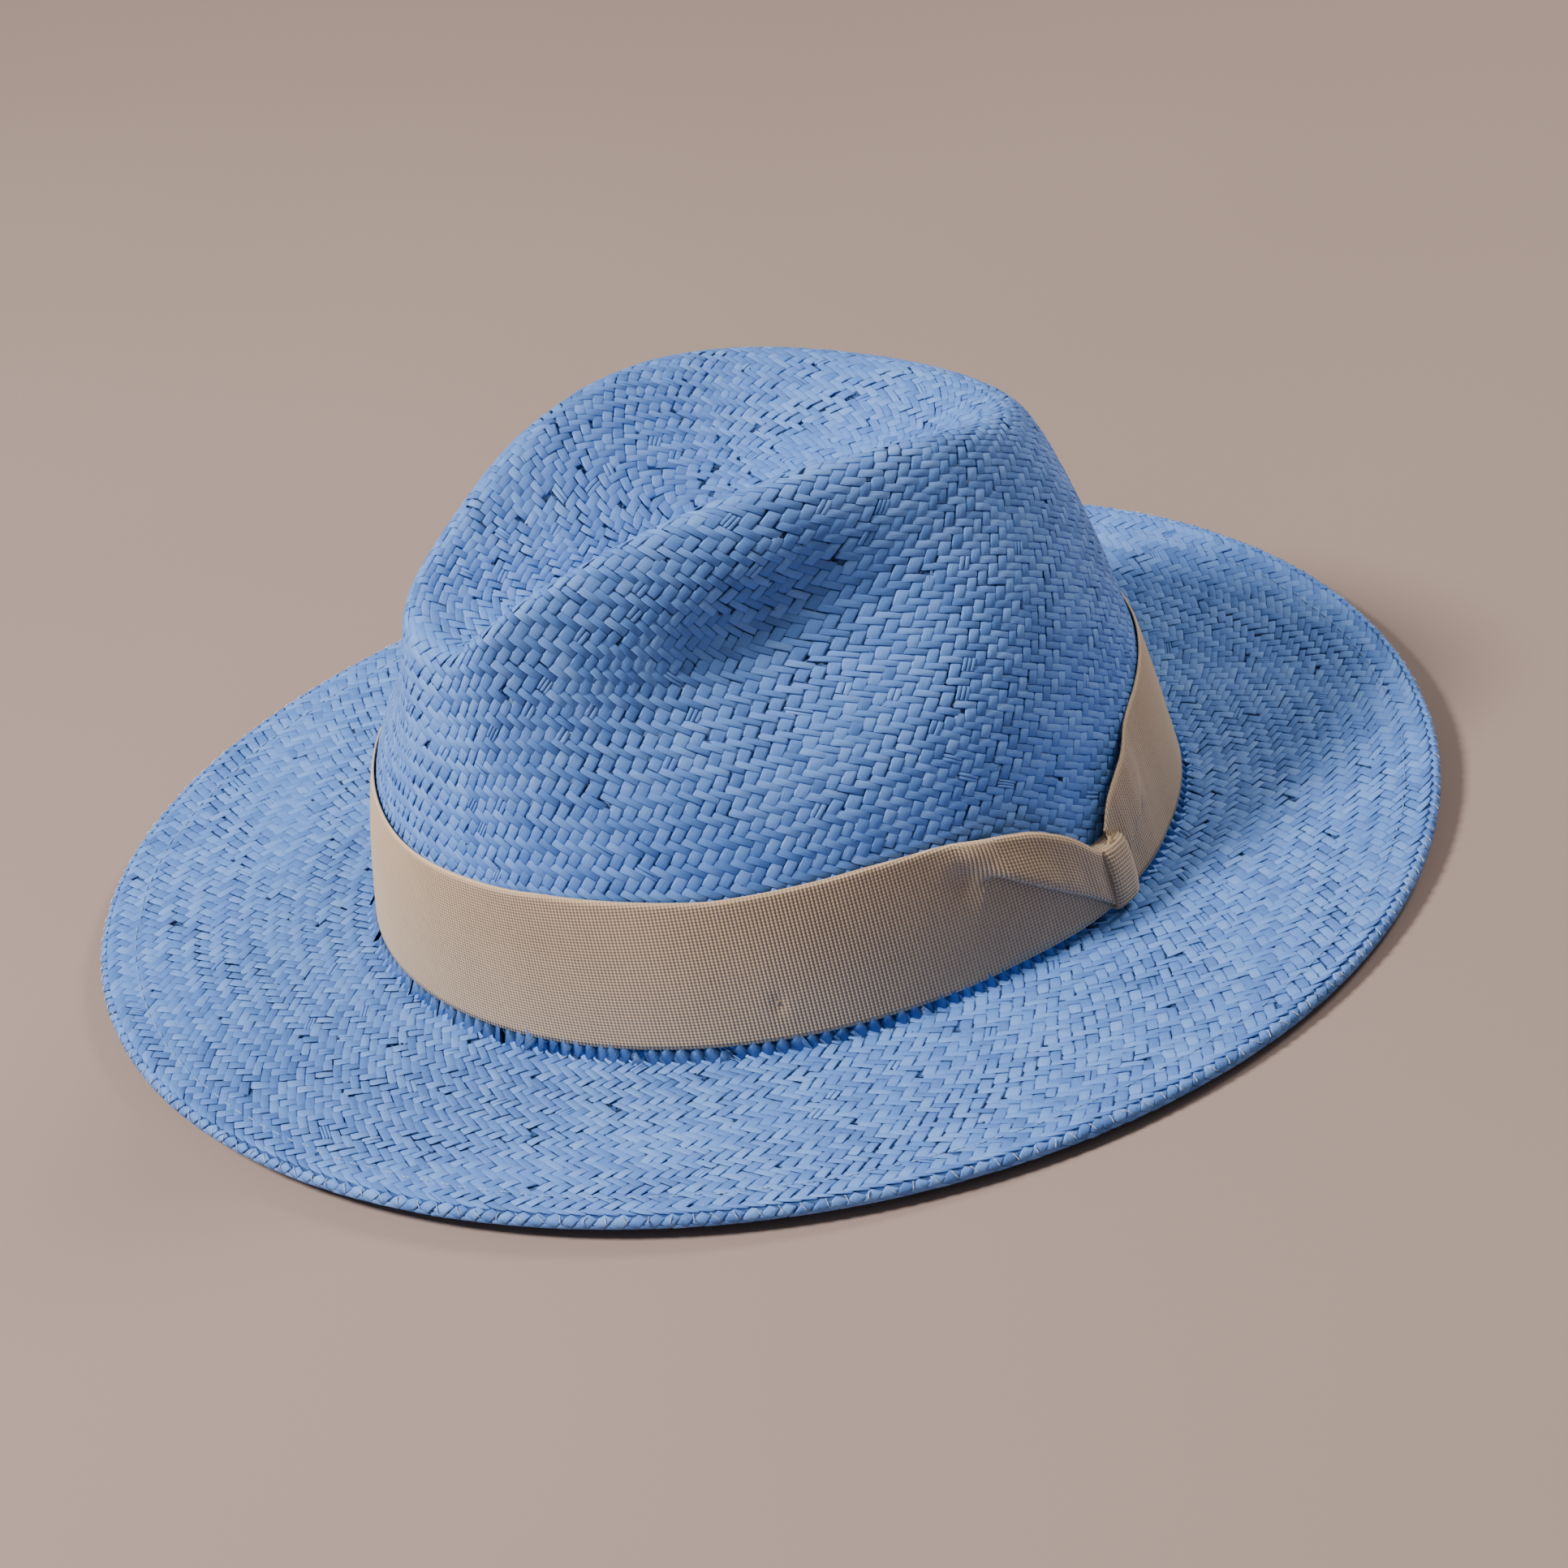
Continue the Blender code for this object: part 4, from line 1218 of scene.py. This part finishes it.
def ribbon_line(at, width):
    """Heights and stand-offs across the ribbon at an angle, from its lower edge to its upper."""
    turn = (at - BOW_AT + math.pi) % FULL_TURN - math.pi
    gone = math.degrees(abs(turn)) * DEGREE_ROUND
    reach = 38.0 if turn < 0 else 24.0
    wave = BAND_WAVE * math.cos(2 * at)
    near = 1 - ease((gone - 6.0) / 28.0)
    low = BAND_LOW + wave + 0.6 * MM * near
    top = BAND_HIGH - soft_fall(math.degrees(turn) * DEGREE_ROUND)
    share = min(max((gone - 4) / (reach - 4), 0), 1)
    crest = low + 0.6 * MM + ((26.0 if turn < 0 else 15.0) * MM - low) * share**0.9
    hollow = max((width - top + 2 * crest + low) / 2, crest + 0.15 * MM)
    fold = 1 - ease((gone - (reach - 9)) / 11.0)
    if turn > 0:
        fold *= 0.6
    a, b = hollow - low, hollow - crest
    c = top - crest
    lower, hid, mid, edge, outer = RIBBON_ROWS
    s = [a * t * 0.965 for t in np.linspace(0, 1, lower)]
    s.extend(a + (t - 0.5) * 0.07 * a for t in np.linspace(0.2, 1.0, hid))
    s.extend(a + b * t for t in np.linspace(0.12, 0.86, mid))
    s.extend(a + b + (t - 0.4) * 0.06 * c for t in np.linspace(0, 1, edge))
    s.extend(a + b + c * t for t in np.linspace(0.06, 1, outer))
    s = np.maximum.accumulate(np.array(s))
    z = np.where(s < a, low + s, np.where(s < a + b, hollow - (s - a), crest + (s - a - b)))
    even = np.linspace(0, 1, len(s))
    z = z * fold + (low + (top - low) * even) * (1 - fold)
    soft = 1.6 * MM
    first = np.array([ease((v - a + soft / 2) / soft) for v in s])
    second = np.array([ease((v - a - b + soft / 2) / soft) for v in s])
    s = s * fold + (top - low) * even * (1 - fold)
    off = fold * LAYER * (first + second)
    open_up = math.exp(-(((gone - reach * 0.7) / (reach * 0.34)) ** 2))
    flare = np.exp(-(((z - crest) / (7 * MM)) ** 2)) * second
    off += flare * fold * open_up * (2.0 if turn < 0 else 0.5) * MM
    dent = math.exp(-(((gone - reach - 1.0) / 3.2) ** 2))
    off -= 0.7 * MM * dent * np.exp(-(((z - 24.0 * MM) / (4 * MM)) ** 2)) * (turn < 0)
    lip = math.exp(-(((gone - reach + 1) / 5.0) ** 2))
    off += 1.0 * MM * lip * np.exp(-(((z - 28.5 * MM) / (3.6 * MM)) ** 2)) * (turn < 0)
    stand = GAP + 0.2 * MM + RIBBON_THICK + (2.6 if turn < 0 else 1.8) * MM * near
    stand += 0.4 * MM * near * (1 - near)
    pucker = 0.2 * MM * math.sin(gone * 1.0) * math.exp(-((gone / 18.0) ** 2))
    off += stand + pucker * np.sin(math.pi * even)
    return z, off, s


def soft_fall(gone):
    """How far the ribbon's upper edge has sunk at a distance from the keeper, corners rounded."""
    spots = gone + np.linspace(-2.4, 2.4, 7)
    return float(np.interp(spots, FALL_AT, FALL).mean()) * MM


def tack_dents(at, z):
    """Small dents where the ribbon is tacked to the crown."""
    total = np.zeros_like(z)
    for deg in TACK_ANGLES:
        far = ((at - math.radians(deg) + math.pi) % FULL_TURN - math.pi) * BAND_RADIUS
        total += np.exp(-((far / (1.6 * MM)) ** 2) - ((z - 9.8 * MM) / (2.2 * MM)) ** 2)
    return total


class HAT_OT_ribbon(Operator):
    """Lay the grosgrain ribbon round the crown, pleated into its keeper"""

    bl_idname = "hat.ribbon"
    bl_label = "Ribbon"

    def execute(self, context):
        setup = context.scene.hat_ribbon
        around = FULL_TURN * 0.0968
        ribs = int(around / setup.rib)
        columns = ribs * 4
        rows = sum(RIBBON_ROWS)
        front = np.empty((columns, rows, 3))
        length = np.empty((columns, rows))
        for i in range(columns):
            at = FULL_TURN * i / columns
            z, off, s = ribbon_line(at, setup.width)
            off = off - 0.35 * MM * tack_dents(at, z)
            places = wall_many(at, z)
            front[i] = places + foot(at)[1] * off[:, None]
            length[i] = s
        across = np.roll(front, -1, 0) - np.roll(front, 1, 0)
        up_row = np.gradient(front, axis=1)
        up = np.cross(across, up_row)
        up /= np.maximum(np.linalg.norm(up, axis=2), 1e-12)[:, :, None]
        whole = length[:, -1:]
        selvedge = length > whole - 1.0 * MM
        back = front[::4] - up[::4] * RIBBON_THICK
        back_count = len(back)
        verts = np.concatenate([front.reshape(-1, 3), back.reshape(-1, 3)])
        base = columns * rows
        faces = []
        for i in range(columns):
            j = (i + 1) % columns
            for r in range(rows - 1):
                faces.append((i * rows + r, j * rows + r, j * rows + r + 1, i * rows + r + 1))
        for i in range(back_count):
            j = (i + 1) % back_count
            for r in range(rows - 1):
                faces.append((base + i * rows + r, base + i * rows + r + 1,
                              base + j * rows + r + 1, base + j * rows + r))
            for r, flip in ((0, True), (rows - 1, False)):
                edge = [((4 * i + k) % columns) * rows + r for k in range(5)]
                edge += [base + j * rows + r, base + i * rows + r]
                faces.append(edge[::-1] if flip else edge)
        ob = plain_mesh("ribbon_band", verts, faces)
        count = len(verts)
        run = np.zeros(count)
        run[:base] = np.repeat(np.arange(columns) % 4 / 4.0, rows)
        ribbed = np.zeros(count)
        fade = np.clip((whole - 0.7 * MM - length) / (0.5 * MM), 0.25, 1)
        ribbed[:base] = fade.ravel()
        ways = np.zeros((count, 3))
        ways[:base] = up.reshape(-1, 3)
        cloth = np.zeros((count, 3))
        cloth[:base, 0] = np.repeat(np.arange(columns) / 4.0, rows)
        cloth[:base, 1] = length.ravel()
        cloth[base:, 0] = np.repeat(np.arange(back_count), rows)
        cloth[base:, 1] = length[::4].ravel()
        cloth[:base, 2] = selvedge.ravel()
        raise_ribs(ob, run, ribbed, ways, cloth, setup.rise)
        place_piece(ob, "ribbon", "hat_band")
        return {"FINISHED"}


def raise_ribs(ob, run, ribbed, ways, cloth, rise):
    """Raises a ribbon's ribs: run is the place in a rib, ribbed how much of it rises, ways the way
    up, and cloth the ribbon's own coordinates."""
    for key, kind, values in (("run", "FLOAT", run), ("ribbed", "FLOAT", ribbed),
                              ("up", "FLOAT_VECTOR", ways), ("cloth", "FLOAT_VECTOR", cloth)):
        put_values(ob.data, key, kind, values)
    return grown(ob, rib_tree(), drop=("run", "ribbed", "up"), Pitch=1.0, Rise=rise,
                 Material=ribbon_finish())


def ribbon_slab(name, front, back, ways, ribs, width, rise):
    """A short strip of ribbon between two nets of points, with ribs on its front."""
    columns, rows = front.shape[:2]
    base = columns * rows
    faces = ring_faces(columns, rows, closed=False)
    faces += [tuple(base + k for k in f[::-1]) for f in faces]
    rim = [c * rows for c in range(columns)] + [base - rows + k for k in range(1, rows)]
    rim += [c * rows + rows - 1 for c in range(columns - 2, -1, -1)]
    rim += [k for k in range(rows - 2, 0, -1)]
    for a, b in zip(rim, rim[1:] + rim[:1]):
        faces.append((a, b, base + b, base + a))
    verts = np.concatenate([front.reshape(-1, 3), back.reshape(-1, 3)])
    ob = plain_mesh(name, verts, faces)
    ribs, width = (np.tile(np.broadcast_to(v, (columns, rows)).ravel(), 2) for v in (ribs, width))
    cloth = np.stack([ribs, width, np.zeros(2 * base)], 1)
    ways = np.tile(np.broadcast_to(ways, front.shape).reshape(-1, 3), (2, 1))
    raise_ribs(ob, ribs % 1, np.repeat([1.0, 0.0], base), ways, cloth, rise)
    return outward(ob)


class HAT_OT_keeper(Operator):
    """Wrap the short keeper of ribbon round the gathered band"""

    bl_idname = "hat.keeper"
    bl_label = "Keeper"

    def execute(self, context):
        setup = context.scene.hat_ribbon
        low, high = KEEPER_LOW - 0.9 * MM, KEEPER_HIGH + 0.9 * MM
        inner = GAP + 0.75 * MM
        outer = GAP + 0.2 * MM + RIBBON_THICK + 2.2 * MM + 2 * LAYER + 0.8 * MM
        path = []
        for z, off in (
            (high - 0.6 * MM, inner), (high + 0.25 * MM, (inner + outer) / 2), (high, outer),
            (high * 0.8 + low * 0.2, outer + 0.55 * MM), ((low + high) / 2, outer + 0.75 * MM),
            (high * 0.2 + low * 0.8, outer + 0.5 * MM), (low, outer - 0.1 * MM),
            (low - 0.25 * MM, (inner + outer) / 2), (low + 0.6 * MM, inner),
        ):
            path.append((z, off))
        path = even_points(np.array(path), 160)
        path = soften(path, np.linalg.norm(path[1] - path[0]), 0.55 * MM)
        ribs = int(run_length(path)[-1] / setup.rib)
        path = even_points(path, ribs * 4 + 1)
        steps, columns = len(path), 11
        front = np.empty((columns, steps, 3))
        for c in range(columns):
            t = -1 + 2 * c / (columns - 1)
            at = BOW_AT + t * KEEPER_HALF / (HALF_LENGTH * 0.97)
            rounded = 0.55 * MM * (1 - abs(t) ** 3) - 0.35 * MM * abs(t) ** 6
            for k, (z, off) in enumerate(path):
                swell = rounded * min(1, max(0, (off - inner) / (outer - inner)))
                p, n = wall(at, max(z, 1.0 * MM))
                front[c, k] = p + n * (off + swell) + np.array([0, 0, min(z - 1.0 * MM, 0)])
        across = np.gradient(front, axis=0)
        down = np.gradient(front, axis=1)
        up = np.cross(down, across)
        up /= np.linalg.norm(up, axis=2)[:, :, None]
        middle = front.reshape(-1, 3).mean(0)
        if ((front - middle) * up).sum() < 0:
            up = -up
        back = front - up * RIBBON_THICK
        width = np.linspace(0, 2 * KEEPER_HALF, columns)[:, None]
        ob = ribbon_slab("ribbon_keeper", front, back, up, np.arange(steps) / 4.0, width, setup.rise)
        place_piece(ob, "ribbon", "bow_keeper")
        tacks = self.tacks()
        return {"FINISHED"}

    def tacks(self):
        """Two short turns of thread at each place where the ribbon is tacked."""
        verts, faces = [], []
        for deg in TACK_ANGLES:
            at = math.radians(deg)
            for side in (-1, 1):
                spine = []
                for k in range(7):
                    t = -1 + k / 3
                    turn = at + side * 0.16 * MM / BAND_RADIUS
                    p, n = wall(turn, 9.8 * MM + t * 0.55 * MM)
                    spine.append(p + n * (GAP + 0.2 * MM + RIBBON_THICK + 0.05 * MM - 0.3 * MM * t**4))
                start = len(verts)
                for p in spine:
                    out = foot(at)[1]
                    tangent = np.cross([0, 0, 1.0], out)
                    for s in range(6):
                        a = FULL_TURN * s / 6
                        verts.append(p + (tangent * math.cos(a) + out * math.sin(a)) * 0.13 * MM)
                for k in range(6):
                    for s in range(6):
                        a, b = start + k * 6 + s, start + k * 6 + (s + 1) % 6
                        faces.append((a, b, b + 6, a + 6))
                faces.append(tuple(start + s for s in range(6)))
                faces.append(tuple(start + 36 + s for s in range(5, -1, -1)))
        thread = thread_finish("tack_thread", (0.40, 0.31, 0.21))
        ob = outward(plain_mesh("band_tacks", verts, faces, thread))
        put_values(ob.data, "grain", "FLOAT_VECTOR", np.array([v.co * 1000 for v in ob.data.vertices]))
        return place_piece(ob, "thread", "band_tack_1", "band_tack_2", "band_tack_3", "band_tack_4")


# ------------------------------------------------------------------ operators: head opening
class HAT_OT_sweatband(Operator):
    """Make the leather sweatband with its turned lower edge, its seam thread and its join"""

    bl_idname = "hat.sweatband"
    bl_label = "Sweatband"

    def execute(self, context):
        setup = context.scene.hat_lining
        columns = 288
        stops = (-3.15, -2.4, -1.0, 0.6, 1.6, 2.6, 5, 9, 14, 19, 24, 28, 30.5, 31.6, 32.0)
        rng = np.random.default_rng(9)
        waves = [(rng.integers(5, 31), rng.uniform(0, FULL_TURN), rng.uniform(0.2, 1)) for _ in range(8)]
        outer = []
        for z in stops:
            z *= MM
            row = []
            for i in range(columns):
                at = FULL_TURN * i / columns
                p, n = wall(at, max(z, 6 * MM))
                if z < 6 * MM:
                    b = foot(at)[0] + STAND
                    p = b + (p - b) * 0.35
                inset = STRAW + GAP + 0.2 * MM
                share = max(z - 8 * MM, 0) / (24 * MM)
                ripple = sum(a * math.sin(t * at + f) for t, f, a in waves) / 4
                inset += (0.12 + 0.35 * abs(ripple)) * MM * share**2 * (1 + ripple)
                groove = 0.25 * MM * math.exp(-(((z - 1.6 * MM) / (0.6 * MM)) ** 2))
                q = p - n * (inset + groove)
                row.append((q[0], q[1], z + STAND[2]))
            outer.append(row)
        outer = np.array(outer)
        ways = np.array([foot(FULL_TURN * i / columns)[1] for i in range(columns)])
        profile = np.array([0.55, 0.9, 1.0, 1.0, 0.82, 1.0, 1, 1, 1, 1, 1, 0.95, 0.85, 0.7, 0.4])
        inner = outer - ways[None] * (setup.thickness * profile)[:, None, None]
        rows = np.concatenate([outer, inner[::-1]])
        verts = rows.reshape(-1, 3)
        faces = ring_faces(len(rows), columns)
        last = (len(rows) - 1) * columns
        for i in range(columns):
            j = (i + 1) % columns
            faces.append((last + i, i, j, last + j))
        ob = outward(plain_mesh("sweatband_leather_strip", verts, faces, leather_finish()))
        place_piece(ob, "sweatband", "sweatband")
        inward = np.repeat(-ways[:, None], len(stops), 1)
        sheet = laying_sheet("sweat_form", inner.transpose(1, 0, 2), inward, np.array(stops) * MM)
        stitch = thread_shape("sweat_stitch", 4, 6, 0.45)
        count = 196
        spots = blank_spots(count, 0.08 * MM)
        spots["spot"][:, 0] = (np.arange(count) + 0.5) / count
        spots["spot"][:, 1] = 1.6 * MM
        spots["along"][:, 0] = 0.33 / count
        spots["across"][:, 1] = 0.2 * MM
        spots["size"][:] = (1.0, 0.2, 1)
        thread = thread_finish("sweat_thread", (0.55, 0.45, 0.32))
        seam = lay("sweatband_stitches", sheet, stitch, thread, spots, 0.2 * MM)
        place_piece(seam, "thread", "sweatband_thread")
        for spent in (sheet, stitch):
            bpy.data.objects.remove(spent, do_unlink=True)
        tape = self.join()
        return {"FINISHED"}

    def join(self):
        """The narrow ribbon tape that covers the sweatband's join at the back."""
        setup = bpy.context.scene.hat_ribbon
        columns, rows = 61, 27
        depth = STRAW + GAP + 0.2 * MM + 0.95 * MM + 0.6 * MM
        front = np.empty((columns, rows, 3))
        for c in range(columns):
            at = math.pi + (c / (columns - 1) * 2 - 1) * math.radians(5.0)
            for r in range(rows):
                z = (1.2 + 27.0 * r / (rows - 1)) * MM
                p, n = wall(at, max(z, 6 * MM))
                if z < 6 * MM:
                    b = foot(at)[0] + STAND
                    p = b + (p - b) * 0.35
                arch = 0.1 * MM * (1 - (2 * c / (columns - 1) - 1) ** 2)
                q = p - n * (depth + arch)
                front[c, r] = (q[0], q[1], z + STAND[2])
        way = -foot(math.pi)[1]
        back = front - way * 0.4 * MM
        ribs = np.arange(columns)[:, None] / 4.0
        width = np.arange(rows) * 27.0 / (rows - 1) * MM
        ob = ribbon_slab("sweatband_tape", front, back, way, ribs, width, setup.rise * 0.7)
        return place_piece(ob, "tape", "sweatband_join_tape")


class HAT_OT_kept_parts(Operator):
    """Give the wire in the brim and the reed of the sweatband their finishes"""

    bl_idname = "hat.kept_parts"
    bl_label = "Wire and Reed"

    def execute(self, context):
        for node, finish in (("brim_wire", wire_finish()), ("sweatband_reed", reed_finish())):
            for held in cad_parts[node].material_slots:
                held.material = finish
        return {"FINISHED"}


# ------------------------------------------------------------------ operator: stage
class HAT_OT_stage(Operator):
    """Set a pale floor, a large soft light from the left and the camera"""

    bl_idname = "hat.stage"
    bl_label = "Stage"

    def execute(self, context):
        setup = context.scene.hat_stage
        half = 6.0
        corners = [(-half, -half, 0), (half, -half, 0), (half, half, 0), (-half, half, 0)]
        floor = plain_mesh("floor", corners,
                           [(0, 1, 2, 3)], floor_finish())
        turn, rise, roll = math.radians(43.764), math.radians(29.076), math.radians(-8.012)
        back = Vector((math.sin(turn) * math.cos(rise), -math.cos(turn) * math.cos(rise), math.sin(rise)))
        right = Vector((math.cos(turn), math.sin(turn), 0))
        up = back.cross(right)
        right, up = (right * math.cos(roll) + up * math.sin(roll),
                     up * math.cos(roll) - right * math.sin(roll))
        look = bpy.data.cameras.new("camera")
        look.lens = setup.lens
        look.sensor_width = 36.0
        camera = bpy.data.objects.new("camera", look)
        context.scene.collection.objects.link(camera)
        place = Vector((603.96, -624.26, 497.94)) * MM
        camera.matrix_world = Matrix.Translation(place) @ Matrix((right, up, back)).transposed().to_4x4()
        context.scene.camera = camera
        self.light("key_light", Vector((-0.6, -1.12, 1.3)), 0.4, setup.key)
        self.light("rim_light", Vector((0.3, 1.33, 1.3)), 0.6, setup.key * 0.33)
        world = bpy.data.worlds.new("studio")
        world.use_nodes = True
        sky = world.node_tree.nodes["Background"]
        sky.inputs[0].default_value = (1.0, 0.97, 0.94, 1)
        sky.inputs[1].default_value = setup.fill
        context.scene.world = world
        return {"FINISHED"}

    def light(self, name, place, size, power):
        lamp = bpy.data.lights.new(name, "AREA")
        lamp.shape = "DISK"
        lamp.size = size
        lamp.energy = power
        lamp.color = (1.0, 0.98, 0.965)
        ob = bpy.data.objects.new(name, lamp)
        bpy.context.scene.collection.objects.link(ob)
        ob.location = place
        ob.rotation_euler = (place - Vector((0, 0, 0.05))).to_track_quat("Z", "Y").to_euler()


# ------------------------------------------------------------------ panel and registration
class HAT_PT_panel(Panel):
    """Lists the hat's pieces and settings"""

    bl_label = "Straw Hat"
    bl_idname = "HAT_PT_panel"
    bl_space_type = "VIEW_3D"
    bl_region_type = "UI"
    bl_category = "Hat"

    def draw(self, context):
        for group in (context.scene.hat_straw, context.scene.hat_ribbon, context.scene.hat_lining,
                      context.scene.hat_stage):
            box = self.layout.box()
            for key in group.__annotations__:
                box.prop(group, key)
        for operator in OPERATORS:
            self.layout.operator(operator.bl_idname)


OPERATORS = (HAT_OT_stage, HAT_OT_chinks, HAT_OT_weave, HAT_OT_crown_knot, HAT_OT_hem_threads,
             HAT_OT_ribbon, HAT_OT_keeper, HAT_OT_sweatband, HAT_OT_kept_parts)
GROUPS = {"hat_straw": HatStraw, "hat_ribbon": HatRibbon, "hat_lining": HatLining, "hat_stage": HatStage}


def register():
    for kind in (*GROUPS.values(), *OPERATORS, HAT_PT_panel):
        bpy.utils.register_class(kind)
    for name, kind in GROUPS.items():
        setattr(bpy.types.Scene, name, PointerProperty(type=kind))


def unregister():
    for name in GROUPS:
        delattr(bpy.types.Scene, name)
    for kind in reversed((*GROUPS.values(), *OPERATORS, HAT_PT_panel)):
        bpy.utils.unregister_class(kind)


def main():
    register()
    for operator in OPERATORS:
        group, name = operator.bl_idname.split(".")
        getattr(getattr(bpy.ops, group), name)()
    bpy.data.objects.remove(form_sheet(), do_unlink=True)


if __name__ == "__main__":
    main()
